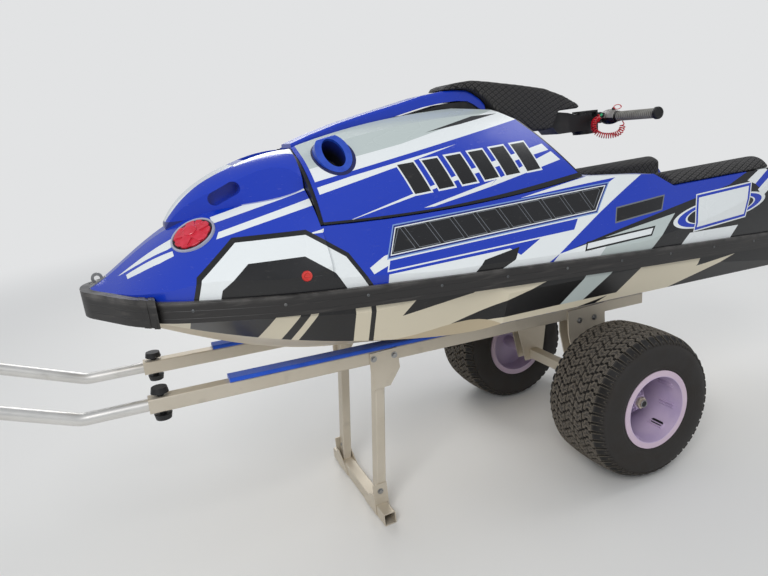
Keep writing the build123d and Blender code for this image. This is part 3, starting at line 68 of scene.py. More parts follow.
# Places that the frame gives
AXLE = JOINTS["wheel_starboard_spin"]
HALF_TRACK = AXLE.y
TYRE_R = (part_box("tyre_port")[1].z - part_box("tyre_port")[0].z) / 2
TYRE_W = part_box("tyre_port")[1].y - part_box("tyre_port")[0].y
BAR = sum(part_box("handlebar"), Vector()) / 2
HOOD_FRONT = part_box("hood")[0].x

PORT = -1
STARBOARD = 1
SIDES = ((PORT, "port"), (STARBOARD, "starboard"))

# Shortest length that a setting allows
SHORTEST = 0.0002

# Line of the rail: height at the axle and its fall towards the stern
SHEER_Z = 0.658
SHEER_FALL = tan(radians(4.75))


def at(x, y, z):
    """Point given by its distance aft of the axle, across and up."""
    return Vector((AXLE.x + x, y, z))


def tint(red, green, blue):
    """Linear colour of a screen colour given from 0 to 255."""
    screen = (red / 255, green / 255, blue / 255)
    return tuple(((c + 0.055) / 1.055) ** 2.4 if c > 0.0405 else c / 12.92 for c in screen)


def mm(sizes_given):
    """Metres from millimetres, in nested lists and tuples too."""
    if isinstance(sizes_given, (list, tuple)):
        return type(sizes_given)(mm(part) for part in sizes_given)
    return sizes_given / 1000


# Colours of the craft and its trolley
BLUE = tint(14, 56, 186)
DEEP_BLUE = tint(8, 30, 118)
PALE_BLUE = tint(128, 160, 214)
WHITE = tint(238, 242, 242)
PALE_GREY = tint(194, 204, 201)
DIM_GREY = tint(112, 116, 122)
CREAM = tint(222, 212, 188)
SHADED_CREAM = tint(196, 180, 150)
BLACK = tint(17, 16, 17)
RUBBER = tint(40, 38, 37)
FOAM = tint(36, 36, 38)
RED = tint(206, 26, 50)
LANYARD_RED = tint(196, 14, 30)
LILAC = tint(210, 192, 216)
FELT_BLUE = tint(26, 84, 204)
GRIP_GREY = tint(150, 148, 140)
POD_GREY = tint(132, 128, 124)
SIGNAL_GREEN = tint(36, 170, 104)
TYRE_BLACK = tint(40, 37, 35)
DUST = tint(122, 108, 88)
BACKDROP = tint(226, 227, 228)


def colour_setting(label, what, default):
    """Property for one colour."""
    return FloatVectorProperty(
        name=label, description=what, default=default, subtype="COLOR", min=0.0, max=1.0
    )


def length_setting(label, what, default):
    """Property for one length in metres."""
    return FloatProperty(
        name=label, description=what, default=default, min=SHORTEST, unit="LENGTH", precision=4
    )


class WatercraftColours(bpy.types.PropertyGroup):
    """Colours that an owner would pick."""

    gelcoat: colour_setting("Gelcoat", "Main colour of deck, hood and pole cover", BLUE)
    hull: colour_setting("Hull", "Colour of the hull under the rail", CREAM)
    rim: colour_setting("Rims", "Colour of the trolley's rims", LILAC)
    cap: colour_setting("Fuel Cap", "Colour of the fuel cap", RED)
    lanyard: colour_setting("Lanyard", "Colour of the curly lanyard", LANYARD_RED)
    bunk: colour_setting("Bunks", "Colour of the padding on the trolley's rails", FELT_BLUE)
    foam: colour_setting("Foam", "Colour of the mats and pads", FOAM)


class WatercraftSizes(bpy.types.PropertyGroup):
    """Sizes of the details."""

    lug_height: length_setting("Lug Height", "Depth of the tyre tread", 0.0070)
    lug_pitches: IntProperty(
        name="Lug Pitches", description="Rows of lugs round a tyre", default=48, min=8
    )
    wire: length_setting("Lanyard Wire", "Diameter of the lanyard's wire", 0.0034)
    coil: length_setting("Lanyard Coil", "Radius of the coil to the middle of its wire", 0.0082)
    coil_pitch: length_setting("Coil Pitch", "Length of one turn of the coil", 0.0068)
    screw_spacing: length_setting("Rail Screw Spacing", "Distance between the rail's screws", 0.2)
    voxel: length_setting("Pad Voxel", "Fineness of the foam pads", 0.005)


def colours():
    return bpy.context.scene.watercraft_colours


def sizes():
    return bpy.context.scene.watercraft_sizes


# Materials
def maths_method(operation, swapped=False):
    """Method of Value that adds one Math node."""

    def method(self, *others):
        inputs = (*others, self) if swapped else (self, *others)
        return self.maths(operation, *inputs)

    return method


class Value:
    """A number that varies over a surface. Expressions on it add Math nodes."""

    __add__ = __radd__ = maths_method("ADD")
    __sub__ = maths_method("SUBTRACT")
    __rsub__ = maths_method("SUBTRACT", swapped=True)
    __mul__ = __rmul__ = maths_method("MULTIPLY")
    __truediv__ = maths_method("DIVIDE")
    __mod__ = maths_method("FLOORED_MODULO")
    __pow__ = maths_method("POWER")
    __abs__ = maths_method("ABSOLUTE")
    __gt__ = maths_method("GREATER_THAN")
    __lt__ = maths_method("LESS_THAN")
    least = maths_method("MINIMUM")
    most = maths_method("MAXIMUM")
    wave = maths_method("SINE")

    def __init__(self, finish, socket):
        self.finish = finish
        self.socket = socket

    def maths(self, operation, *inputs):
        node = self.finish.node("ShaderNodeMath", {"operation": operation}, dict(enumerate(inputs)))
        return Value(self.finish, node.outputs[0])

    def between(self, low, high):
        """Rises smoothly from 0 at low to 1 at high."""
        settings = {"interpolation_type": "SMOOTHSTEP"}
        node = self.finish.node("ShaderNodeMapRange", settings, {0: self, 1: low, 2: high})
        return Value(self.finish, node.outputs[0])


class Nodes:
    """A node tree and the one way in which nodes are added to it."""

    def __init__(self, tree):
        self.tree = tree

    def join(self, socket, value):
        """Link or set a socket."""
        if isinstance(value, Value):
            value = value.socket
        if isinstance(value, bpy.types.NodeSocket):
            self.tree.links.new(value, socket)
        elif socket.type == "RGBA":
            socket.default_value = (*value, 1.0)
        else:
            socket.default_value = value

    def node(self, kind, settings=None, inputs=None):
        """Any node: its settings first, then the values or links of its sockets."""
        node = self.tree.nodes.new(kind)
        for name, value in (settings or {}).items():
            setattr(node, name, value)
        for key, value in (inputs or {}).items():
            self.join(node.inputs[key], value)
        return node


class Finish(Nodes):
    """One material: a Principled shader and the nodes that feed it."""

    def __init__(self, name, **sockets):
        self.material = bpy.data.materials.new(name)
        self.material.use_nodes = True
        super().__init__(self.material.node_tree)
        self.shader = self.tree.nodes["Principled BSDF"]
        self.place = self.node("ShaderNodeTexCoord").outputs["Object"]
        parts = self.node("ShaderNodeSeparateXYZ", {}, {0: self.place})
        self.x, self.y, self.z = (Value(self, output) for output in parts.outputs)
        self.normal = None
        for key, value in sockets.items():
            self.give(key.replace("_", " ").title(), value)

    def give(self, name, value):
        """Set or link one socket of the shader."""
        self.join(self.shader.inputs[name], value)

    def surface(self, colour, roughness):
        self.give("Base Color", colour)
        self.give("Roughness", roughness)

    def mix(self, mask, below, above):
        """Colour: below where the mask is 0 and above where it is 1."""
        settings = {"data_type": "RGBA", "clamp_factor": True}
        return self.node("ShaderNodeMix", settings, {0: mask, 6: below, 7: above}).outputs[2]

    def noise(self, scale, detail=3.0, stretch=None):
        """Soft random value about 0.5."""
        place = self.place
        if stretch:
            place = self.node("ShaderNodeMapping", {}, {0: place, 3: stretch}).outputs[0]
        inputs = {"Vector": place, "Scale": scale, "Detail": detail}
        return Value(self, self.node("ShaderNodeTexNoise", {}, inputs).outputs[0])

    def cells(self, scale):
        """Distance to the nearest of scattered points."""
        inputs = {"Vector": self.place, "Scale": scale}
        return Value(self, self.node("ShaderNodeTexVoronoi", {}, inputs).outputs[0])

    def edges(self, size):
        """Rises on convex edges within a distance."""
        bevel = self.node("ShaderNodeBevel", {"samples": 4}, {0: size}).outputs[0]
        plain = self.node("ShaderNodeNewGeometry").outputs["Normal"]
        dot = self.node("ShaderNodeVectorMath", {"operation": "DOT_PRODUCT"}, {0: bevel, 1: plain})
        return (1 - Value(self, dot.outputs["Value"])).between(0.02, 0.16)

    def relief(self, height, distance, strength=1.0):
        """Raise the surface by the height, on top of any relief given before."""
        inputs = {"Strength": strength, "Distance": distance, "Height": height}
        if self.normal:
            inputs["Normal"] = self.normal
        self.normal = self.node("ShaderNodeBump", {}, inputs).outputs[0]
        self.give("Normal", self.normal)


def depth_inside(across, up, corners):
    """Distance inside a flat shape that bulges outwards, from its corners in millimetres."""
    corners = mm(corners)
    turns = list(zip(corners, corners[1:] + corners[:1]))
    area = sum(a[0] * b[1] - b[0] * a[1] for a, b in turns)
    way = 1 if area > 0 else -1
    depth = None
    for start, end in turns:
        run = end[0] - start[0]
        rise = end[1] - start[1]
        length = sqrt(run * run + rise * rise)
        a = -way * rise / length
        b = way * run / length
        c = -a * start[0] - b * start[1]
        edge = across.maths("MULTIPLY_ADD", across, a, up.maths("MULTIPLY_ADD", up, b, c))
        depth = edge if depth is None else depth.least(edge)
    return depth


def paint_shapes(finish, colour, across, up, shapes):
    """Lay flat shapes, each (colour, corners), one over the other on a colour."""
    for shape_colour, corners in shapes:
        colour = finish.mix(depth_inside(across, up, corners) > 0.0, colour, shape_colour)
    return colour


def paint_bands(finish, colour, depth, bands):
    """Lay bands, each (depth where it begins, colour), inwards from a shape's edge."""
    for start, band_colour in bands:
        colour = finish.mix(depth > start, colour, band_colour)
    return colour


# Livery in side view: x from the axle and height, in millimetres. Both sides are alike.
BOW_PANEL = [
    (-1222, 690), (-1178, 826), (-1085, 893), (-925, 890), (-842, 826), (-770, 690),
]
FOREDECK_SHAPES = [
    (WHITE, [(-1118, 936), (-1118, 949), (-885, 1003), (-885, 986)]),
    (WHITE, [(-1122, 904), (-1112, 918), (-885, 967), (-885, 951)]),
    (WHITE, [(-912, 890), (-909, 893), (-879, 898), (-882, 890)]),
]
DECK_SIDE_SHAPES = [
    (BLACK, [(-224, 722), (476, 811), (900, 866), (900, 600), (-300, 600)]),
    (BLACK, [(470, 810), (563, 838), (620, 858), (900, 900), (900, 800)]),
    (PALE_GREY, [(-225, 721.5), (256, 763), (131, 679), (80, 640), (-300, 640)]),
    (WHITE, [(-225, 721.5), (-30, 738), (-110, 660), (-300, 660)]),
    (WHITE, [(290, 692), (522, 678), (470, 630), (225, 640)]),
    (WHITE, [(-757, 700), (-745, 766), (-380, 764), (-300, 700)]),
    (BLACK, [(-530, 700), (-467, 750), (-349, 763), (-398, 700)]),
    (WHITE, [(-460, 700), (70, 905), (169, 905), (-272, 700)]),
    (WHITE, [(-790, 790), (-745, 810), (-730, 812), (-735, 788), (-783, 774)]),
    (WHITE, [(-330, 884), (-120, 905), (60, 925), (60, 896)]),
    (WHITE, [(575, 815), (650, 852), (672, 838), (610, 800)]),
    (BLUE, [(610, 800), (672, 838), (695, 824), (628, 784)]),
    (WHITE, [(619, 780), (695, 824), (720, 800), (640, 752)]),
]
# Blank boards on the side: corners and bands, each from its depth in metres inwards
SIDE_BOARDS = [
    (
        [(-748, 772), (-735, 800), (-120, 806), (-150, 772)],
        ((0.0, WHITE), (0.0035, BLUE)),
    ),
    (
        [(-740, 800), (-700, 878), (20, 886), (-52, 806)],
        ((0.0, PALE_BLUE), (0.003, DEEP_BLUE), (0.007, WHITE), (0.0095, BLACK)),
    ),
    (
        [(0, 768), (20, 812), (214, 822), (190, 778)],
        ((0.0, DIM_GREY), (0.004, BLACK)),
    ),
    (
        [(-136, 712), (-120, 736), (150, 738), (126, 712)],
        ((0.0, BLACK), (0.005, WHITE)),
    ),
]
# Oval badge: middle, half sizes and lean in metres, and bands in shares of its size
BADGE_CENTRE = (0.440, 0.741)
BADGE_SIZE = (0.205, 0.038)
BADGE_LEAN = 0.046
BADGE_BANDS = ((-0.06, WHITE), (0.03, BLUE), (0.20, WHITE), (0.24, BLACK))
# Plate on the badge, and bands of the plate and of the bow's panel
BADGE_PLATE = [(310, 696), (345, 800), (590, 806), (555, 702)]
PLATE_BANDS = ((-0.004, WHITE), (0.0, BLUE), (0.008, WHITE))
PANEL_BANDS = ((-0.011, BLACK), (0.0, WHITE), (0.046, BLACK))
# The side livery begins this far from the middle and aft of this place
SIDE_FROM = 0.21
SIDE_AFT_OF = -0.80
HOOD_SHAPES = [
    (WHITE, [(-900, 998), (-900, 1160), (-100, 1180), (-100, 1111.5)]),
    (PALE_GREY, [(-900, 1030), (-900, 1160), (-100, 1180), (-100, 1160), (-600, 1068)]),
    (BLACK, [(-600, 1074.5), (-349, 1118), (-264, 1118), (-279, 1112), (-402, 1100)]),
    (WHITE, [(-900, 984), (-767, 1006), (-395, 1056.5), (-640, 1013), (-900, 964)]),
    (WHITE, [(-830, 900), (-436, 980), (-441, 966)]),
    (WHITE, [(-441, 966), (-436, 980), (-174, 1020), (-160, 1001)]),
    (WHITE, [(-600, 904), (-367, 944), (-391, 928), (-571, 903)]),
    (WHITE, [(-391, 928), (-367, 943), (-154, 996), (-132, 970)]),
]
HULL_SHAPES = [
    (BLACK, [(-714, 648), (-650, 720), (-460, 700), (-505, 666)]),
    (BLACK, [(-655, 560), (-263, 655), (-100, 680), (900, 700), (900, 450), (-500, 450)]),
    (PALE_GREY, [(-209, 560), (-130, 645), (-20, 645), (-133, 550)]),
    (CREAM, [(-30, 520), (83, 628), (349, 612), (323, 574), (211, 520)]),
    (CREAM, [(200, 518), (323, 578), (512, 584)]),
    (CREAM, [(-660, 500), (-620, 578), (-200, 562), (150, 552), (150, 500)]),
    (BLACK, [(-190, 530), (-27, 552), (-80, 530)]),
]
HULL_PANEL = [
    (BLACK, [(-1218, 450), (-1218, 860), (-842, 860), (-842, 450)]),
    (CREAM, [(-1135, 540), (-985, 800), (-925, 800), (-1075, 540)]),
    (CREAM, [(-1050, 540), (-900, 800), (-880, 800), (-1030, 540)]),
    (BLACK, [(-802, 450), (-802, 860), (-789, 860), (-789, 450)]),
]

# Livery in plan: x from the axle and distance from the middle, in millimetres
NOSE_SHAPES = [
    (WHITE, [(-1200, 115), (-1354, 64), (-1349, 69), (-1300, 100), (-1232, 138), (-1205, 142)]),
    (WHITE, [(-1222, 155), (-1335, 91), (-1333, 112), (-1303, 133), (-1256, 160), (-1222, 172)]),
]
COVER_SHAPES = [
    (WHITE, [
        (-1240, -100), (-1240, 28), (-1200, 34), (-1160, 52), (-1060, 70), (-1030, 72),
        (-1030, -100),
    ]),
    (WHITE, [(-1031, 50), (-1031, 72), (-880, 118), (-880, 88)]),
]
PLANING_BOTTOM = [
    (-1500, -100), (-1436, 28), (-1300, 120), (-1130, 206), (-970, 260), (-775, 280),
    (-400, 288.5), (900, 286.5), (900, -100),
]

# Slanted bars across the hood and the side board: field, number, lean and share filled
HOOD_BARS = [(-626, 936), (-652, 1022), (-222, 1036), (-196, 950)]
HOOD_PATTERN = (6, 0.30, 0.78)
BOARD_BARS = [(-722, 812), (-688, 868), (-14, 874), (-64, 817)]
BOARD_PATTERN = (9, 0.5, 0.86)
# Arc of the shelf under the hood: x and height of three points on it
SHELF_ARC = ((-0.885, 0.903), (-0.440, 0.890), (-0.060, 0.912))
# Foot and top of the hood's rear slope
HOOD_SLOPE = ((-0.068, 0.912), (-0.207, 1.090))
# Painted field on the rear slope: distance from the middle and height, in millimetres
HOOD_REAR = [(-100, 930), (240, 930), (190, 1000), (112, 1080), (-100, 1080)]
# Hood vent: place, outward direction and half sizes of its mouth
VENT_PLACE = (-0.788, 0.150, 1.062)
VENT_NORMAL = (-0.1, 0.78, 0.62)
VENT_MOUTH = (0.027, 0.046)
VENT_BOSS = (0.052, 0.070)


def circle_through(points):
    """Centre and radius of the circle through three flat points."""
    (x1, y1), (x2, y2), (x3, y3) = points
    d = 2 * (x1 * (y2 - y3) + x2 * (y3 - y1) + x3 * (y1 - y2))
    a, b, c = x1 * x1 + y1 * y1, x2 * x2 + y2 * y2, x3 * x3 + y3 * y3
    cx = (a * (y2 - y3) + b * (y3 - y1) + c * (y1 - y2)) / d
    cy = (a * (x3 - x2) + b * (x1 - x3) + c * (x2 - x1)) / d
    return cx, cy, sqrt((x1 - cx) ** 2 + (y1 - cy) ** 2)


def gelcoat(name, coat=0.25):
    """Glossy gelcoat. Its colour is given afterwards by finish_gelcoat."""
    return Finish(name, roughness=0.24, coat_weight=coat, coat_roughness=0.1)


def finish_gelcoat(finish, colour, roughness=0.2):
    """Light dust, faded patches and fine swirl marks over a painted colour."""
    worn = finish.noise(2.2, 4.0).between(0.35, 0.75)
    shade = finish.mix(worn * 0.025, colour, tint(120, 125, 140))
    dust_and_highlight = finish.noise(38.0, 6.0, (1.0, 1.0, 2.5)).between(0.60, 0.82)
    shade = finish.mix(dust_and_highlight * 0.05, shade, tint(150, 140, 122))
    scratch = finish.noise(9.0, 3.0, (6.0, 6.0, 60.0)).between(0.70, 0.74)
    shade = finish.mix(scratch * 0.08, shade, tint(200, 204, 210))
    finish.surface(shade, roughness + 0.12 * worn + 0.1 * dust_and_highlight + 0.1 * scratch)
    finish.relief(finish.noise(70.0, 2.0), 0.00025, 0.25)
    return finish


def bars_in(across, up, corners, count, lean, fill):
    """Slanted bars within a flat shape: distance inside the nearest bar."""
    board = depth_inside(across, up, corners)
    start, _, _, end = (x + z * lean for x, z in mm(corners))
    pitch = (end - start) / count
    step = (across + up * lean - start) % pitch
    bar = (step - pitch * (1 - fill) / 2).least(pitch * (1 + fill) / 2 - step)
    return board.least(bar)


def deck_livery():
    finish = gelcoat("deck_livery")
    across = finish.x - AXLE.x
    wide = abs(finish.y)
    base = tuple(colours().gelcoat)
    side = paint_shapes(finish, base, across, finish.z, DECK_SIDE_SHAPES)
    for corners, bands in SIDE_BOARDS:
        side = paint_bands(finish, side, depth_inside(across, finish.z, corners), bands)
    bars = bars_in(across, finish.z, BOARD_BARS, *BOARD_PATTERN)
    side = paint_bands(finish, side, bars, ((0.0, DIM_GREY), (0.0018, BLACK)))
    a = (across - BADGE_CENTRE[0]) / BADGE_SIZE[0]
    b = (finish.z - BADGE_CENTRE[1] - BADGE_LEAN * (across - BADGE_CENTRE[0])) / BADGE_SIZE[1]
    ring = 1 - (a * a + b * b) ** 0.5
    side = paint_bands(finish, side, ring, BADGE_BANDS)
    plate = depth_inside(across, finish.z, BADGE_PLATE)
    side = paint_bands(finish, side, plate, PLATE_BANDS)
    colour = finish.mix((wide > SIDE_FROM) * (across > SIDE_AFT_OF), base, side)
    colour = paint_shapes(finish, colour, across, finish.z, FOREDECK_SHAPES)
    colour = paint_shapes(finish, colour, across, wide, NOSE_SHAPES)
    panel = depth_inside(across, finish.z, BOW_PANEL)
    colour = paint_bands(finish, colour, panel, PANEL_BANDS)
    return finish_gelcoat(finish, colour)


def hull_livery():
    finish = gelcoat("hull_livery", 0.05)
    across = finish.x - AXLE.x
    base = tuple(colours().hull)
    colour = paint_shapes(finish, base, across, finish.z, HULL_PANEL + HULL_SHAPES)
    # Darker cream on the planing bottom, which faces down: painted shade
    bottom = depth_inside(across, abs(finish.y), PLANING_BOTTOM)
    colour = finish.mix(bottom > 0.0, colour, SHADED_CREAM)
    return finish_gelcoat(finish, colour, 0.34)


def hood_livery():
    finish = gelcoat("hood_livery")
    across = finish.x - AXLE.x
    up = finish.z
    base = tuple(colours().gelcoat)
    colour = paint_shapes(finish, base, across, up, HOOD_SHAPES)
    bars = bars_in(across, up, HOOD_BARS, *HOOD_PATTERN)
    colour = paint_bands(finish, colour, bars, ((0.0, WHITE), (0.0045, BLACK)))
    front = finish.x - HOOD_FRONT
    colour = finish.mix(front < 0.011, colour, base)
    # Shadow line round the vent
    nx, ny, nz = Vector(VENT_NORMAL).normalized()
    ux, uy, uz = Vector((1.0, 0.0, -nx / nz)).normalized()
    vx, vy, vz = Vector((nx, ny, nz)).cross(Vector((ux, uy, uz)))
    dx = across - VENT_PLACE[0]
    dy = abs(finish.y) - VENT_PLACE[1]
    dz = up - VENT_PLACE[2]
    u = (dx * ux + dy * uy + dz * uz) / VENT_BOSS[0]
    v = (dx * vx + dy * vy + dz * vz) / VENT_BOSS[1]
    reach = (u * u + v * v) ** 0.5
    colour = finish.mix(reach < 1.05, colour, tint(6, 18, 82))
    # Rubber along the lower edge, thicker towards the stern, and along the rear slope
    cx, cz, radius = circle_through(SHELF_ARC)
    out = ((across - cx) ** 2.0 + (up - cz) ** 2.0) ** 0.5
    trim = 0.0055 + 0.008 * across.between(-0.6, -0.1)
    colour = finish.mix(out > (radius - 0.003 - trim), colour, BLACK)
    (x0, z0), (x1, z1) = HOOD_SLOPE
    length = sqrt((x1 - x0) ** 2 + (z1 - z0) ** 2)
    slope = (across - x0) * ((z1 - z0) / length) - (up - z0) * ((x1 - x0) / length)
    rear = slope > -0.0045
    colour = finish.mix(rear * (up < 1.094), colour, BLACK)
    colour = finish.mix(rear * (depth_inside(abs(finish.y), up, HOOD_REAR) > 0.0), colour, base)
    return finish_gelcoat(finish, colour)


def cover_livery():
    finish = gelcoat("nose_livery")
    across = finish.x - AXLE.x
    colour = paint_shapes(finish, tuple(colours().gelcoat), across, abs(finish.y), COVER_SHAPES)
    colour = finish.mix(finish.z < 0.945, colour, DEEP_BLUE)
    return finish_gelcoat(finish, colour)


@cache
def plain_gelcoat():
    finish = gelcoat("blue_gelcoat")
    return finish_gelcoat(finish, tuple(colours().gelcoat))


@cache
def vent_plastic():
    finish = Finish("vent_plastic", roughness=0.3, coat_weight=0.2)
    grain = finish.noise(60.0, 4.0)
    shade = finish.mix(grain.between(0.3, 0.8), tint(40, 80, 190), tint(30, 66, 176))
    finish.give("Base Color", shade)
    finish.relief(grain, 0.0003, 0.3)
    return finish


@cache
def rail_rubber():
    """Extruded rubber with mould lines darkened by painted shade, scuffs, and a painted highlight
    in patches along its upper edge.
    """
    finish = Finish("rail_rubber", roughness=0.55)
    level = finish.z - SHEER_Z + (finish.x - AXLE.x) * SHEER_FALL
    scuff = finish.noise(30.0, 6.0, (0.25, 1.0, 3.0)).between(0.55, 0.75)
    colour = finish.mix(scuff * 0.4, tuple(RUBBER), tint(96, 92, 88))
    # Paler grey in patches along the upper edge: painted highlight
    dust_and_highlight = level.between(0.012, 0.026) * finish.noise(18.0, 5.0).between(0.3, 0.7)
    colour = finish.mix(dust_and_highlight * 0.45, colour, tint(132, 128, 124))
    grooves = (abs((level + 0.0045) % 0.018 - 0.009)).between(0.0, 0.0012)
    # Near-black along the mould lines: painted shade in their grooves
    colour = finish.mix((1 - grooves) * 0.5, colour, tint(14, 13, 13))
    finish.surface(colour, 0.42 + 0.25 * scuff)
    finish.relief(grooves, 0.0008, 0.7)
    finish.relief(finish.noise(300.0, 3.0), 0.0002, 0.3)
    return finish


@cache
def tyre_rubber():
    finish = Finish("tyre_rubber", roughness=0.8)
    out = ((finish.x - AXLE.x) ** 2.0 + (finish.z - AXLE.z) ** 2.0) ** 0.5
    tread = out.between(0.196, 0.216)
    blotch = finish.noise(14.0, 6.0).between(0.35, 0.7)
    colour = finish.mix(blotch * 0.5, TYRE_BLACK, tint(52, 47, 42))
    # Near-black below the lug tops, between the lugs: painted shade
    deep_shade = 1 - out.between(0.2165, 0.2235)
    scuffs = finish.noise(90.0, 5.0).between(0.35, 0.7)
    tops = finish.mix(scuffs, tint(58, 54, 51), tint(76, 71, 66))
    colour = finish.mix(tread, colour, finish.mix(deep_shade, tops, tint(18, 16, 15)))
    # Pale on the lugs' convex edges: painted highlight
    lug_edge_highlight = finish.edges(0.0030)
    colour = finish.mix(lug_edge_highlight * tread * 0.8, colour, tint(142, 132, 116))
    grit = finish.cells(260.0).between(0.0, 0.25)
    colour = finish.mix((1 - grit) * 0.25 * blotch, colour, DUST)
    finish.surface(colour, 0.72 + 0.2 * blotch)
    rings = ((out * 700.0).wave() * (1 - tread)).most(0.0)
    finish.relief(rings * out.between(0.13, 0.135) * (1 - out.between(0.15, 0.155)), 0.0006, 0.5)
    finish.relief(finish.noise(420.0, 3.0), 0.0003, 0.5)
    return finish


@cache
def rim_paint():
    """Lilac paint, paler on the flange, with painted shade deep in the barrel and small chips."""
    finish = Finish("rim_paint", roughness=0.42, coat_weight=0.15)
    out = ((finish.x - AXLE.x) ** 2.0 + (finish.z - AXLE.z) ** 2.0) ** 0.5
    flange = out.between(0.102, 0.106)
    base = tuple(colours().rim)
    cloud = finish.noise(9.0, 4.0).between(0.35, 0.7)
    colour = finish.mix(cloud, base, tint(192, 174, 206))
    colour = finish.mix(flange * 0.7, colour, tint(216, 192, 204))
    # Darker inboard, towards the web inside the barrel: painted shade
    deep_shade = 1 - abs(finish.y).between(HALF_TRACK - 0.10, HALF_TRACK + 0.06)
    colour = finish.mix(deep_shade * 0.35, colour, tint(122, 106, 132))
    chips = finish.cells(95.0).between(0.0, 0.12)
    colour = finish.mix((1 - chips) * 0.5, colour, tint(126, 108, 118))
    finish.surface(colour, 0.36 + 0.2 * cloud)
    finish.relief(finish.noise(160.0, 4.0), 0.0004, 0.35)
    return finish


# Foam: pitch and depth of its pressed grooves, and how they climb a side
FOAMS = {
    "side_foam": (0.024, 0.0032, 0.75),
    "chin_foam": (0.019, 0.0024, 1.1),
    "tray_foam": (0.030, 0.0030, 0.75),
}


@cache
def foam(name):
    """Closed-cell foam with two families of pressed grooves, near-black inside as painted shade and
    edged with a painted highlight.
    """
    pitch, depth, lift = FOAMS[name]
    finish = Finish(name, roughness=0.85)
    base = tuple(colours().foam)
    bend = finish.noise(2.5, 1.0) * 0.02
    first = (finish.x + finish.y * 1.25 + finish.z * lift + bend) / pitch
    second = (finish.x * 0.62 - finish.y * 1.3 - finish.z * (lift * 1.1) + bend) / pitch
    lines = abs(first % 1.0 - 0.5).least(abs(second % 1.0 - 0.5))
    raised = lines.between(0.0, 0.17)
    # Near-black in the grooves: painted shade
    colour = finish.mix(raised, tint(12, 12, 13), base)
    # Paler band along the grooves' edges: painted highlight
    crest_highlight = lines.between(0.10, 0.20) * (1 - lines.between(0.22, 0.36))
    colour = finish.mix(crest_highlight * 0.55, colour, tint(96, 92, 88))
    pale = finish.noise(24.0, 5.0).between(0.5, 0.75)
    colour = finish.mix(pale * 0.3, colour, tint(72, 70, 68))
    finish.surface(colour, 0.78 + 0.15 * pale)
    finish.relief(raised, depth, 0.9)
    finish.relief(finish.noise(500.0, 2.0), 0.0002, 0.4)
    return finish


# Metals: two colours, roughness, stretch of the brush marks and metallic share
METALS = {
    "satin_aluminium": (tint(198, 188, 170), tint(212, 203, 187), 0.46, (0.6, 2.0, 2.0), 0.5),
    "handle_tube": (tint(206, 204, 200), tint(228, 226, 222), 0.34, (0.3, 2.5, 2.5), 0.7),
    "stainless": (tint(150, 150, 150), tint(178, 178, 176), 0.28, (1.0, 1.0, 1.0), 1.0),
    "pump_metal": (tint(96, 98, 100), tint(128, 130, 130), 0.5, (1.5, 1.5, 1.5), 0.8),
    "engine_metal": (tint(52, 54, 58), tint(86, 88, 92), 0.55, (1.0, 1.0, 1.0), 0.6),
}


@cache
def metal(name):
    """Brushed or cast metal between two colours."""
    low, high, roughness, stretch, metallic = METALS[name]
    finish = Finish(name, metallic=metallic, roughness=roughness)
    brush = finish.noise(90.0, 5.0, stretch)
    cloud = finish.noise(7.0, 4.0).between(0.3, 0.7)
    colour = finish.mix(cloud * 0.7 + brush * 0.3, low, high)
    stain = finish.noise(22.0, 6.0).between(0.60, 0.78)
    colour = finish.mix(stain * 0.16, colour, tint(128, 118, 104))
    finish.surface(colour, roughness - 0.08 + 0.14 * cloud + 0.1 * brush)
    finish.relief(brush, 0.0002, 0.3)
    return finish


# Paints and plastics: colour, paler worn colour and roughness
PAINTS = {
    "black_paint": (tint(24, 23, 24), tint(58, 56, 54), 0.45),
    "black_plastic": (tint(20, 20, 21), tint(50, 49, 48), 0.5),
    "gasket_rubber": (tint(14, 14, 18), tint(40, 40, 46), 0.38),
    "seat_plastic": (tint(176, 180, 196), tint(140, 144, 160), 0.4),
    "signal_plastic": (SIGNAL_GREEN, tint(90, 206, 150), 0.3),
    "bright_red": (tint(206, 34, 34), tint(232, 96, 84), 0.35),
}


@cache
def paint(name):
    """Plain satin paint or moulded plastic with worn edges."""
    base, worn, roughness = PAINTS[name]
    finish = Finish(name, roughness=roughness)
    grain = finish.noise(120.0, 4.0)
    colour = finish.mix(finish.noise(16.0, 5.0).between(0.45, 0.75) * 0.5, base, worn)
    colour = finish.mix(finish.edges(0.0015) * 0.4, colour, worn)
    finish.surface(colour, roughness - 0.06 + 0.14 * grain)
    finish.relief(grain, 0.0003, 0.4)
    return finish


@cache
def pod_plastic():
    """Silver-grey half shells over a black underside."""
    finish = Finish("pod_plastic", roughness=0.3)
    grain = finish.noise(60.0, 4.0).between(0.35, 0.7)
    colour = finish.mix(grain * 0.6, POD_GREY, tint(168, 165, 160))
    lower = 1 - (finish.z + (finish.x - BAR.x) * 0.35).between(BAR.z - 0.0095, BAR.z - 0.0085)
    colour = finish.mix(lower, colour, tint(22, 22, 23))
    seam = abs(finish.y - BAR.y + 0.0735).between(0.0006, 0.0012)
    colour = finish.mix(1 - seam, colour, tint(40, 39, 38))
    finish.surface(colour, 0.26 + 0.2 * grain)
    finish.relief(seam, 0.0006, 0.6)
    return finish


@cache
def grip_rubber():
    """Pale rubber, with painted shade between its rings."""
    finish = Finish("grip_rubber", roughness=0.7)
    step = (abs(finish.y) - GRIP_START) % GRIP_PITCH
    falls = step.between(GRIP_PITCH * 0.55, GRIP_PITCH * 0.95)
    groove = step.between(0.0, GRIP_PITCH * 0.4) * (1 - falls)
    wear = finish.noise(50.0, 5.0).between(0.4, 0.7)
    colour = finish.mix(wear * 0.6, GRIP_GREY, tint(120, 116, 108))
    # Darker grey in the grooves between the rings: painted shade
    finish.surface(finish.mix(groove * 0.8, colour, tint(66, 64, 60)), 0.62 + 0.2 * wear)
    finish.relief(1 - groove, 0.0008, 0.6)
    return finish


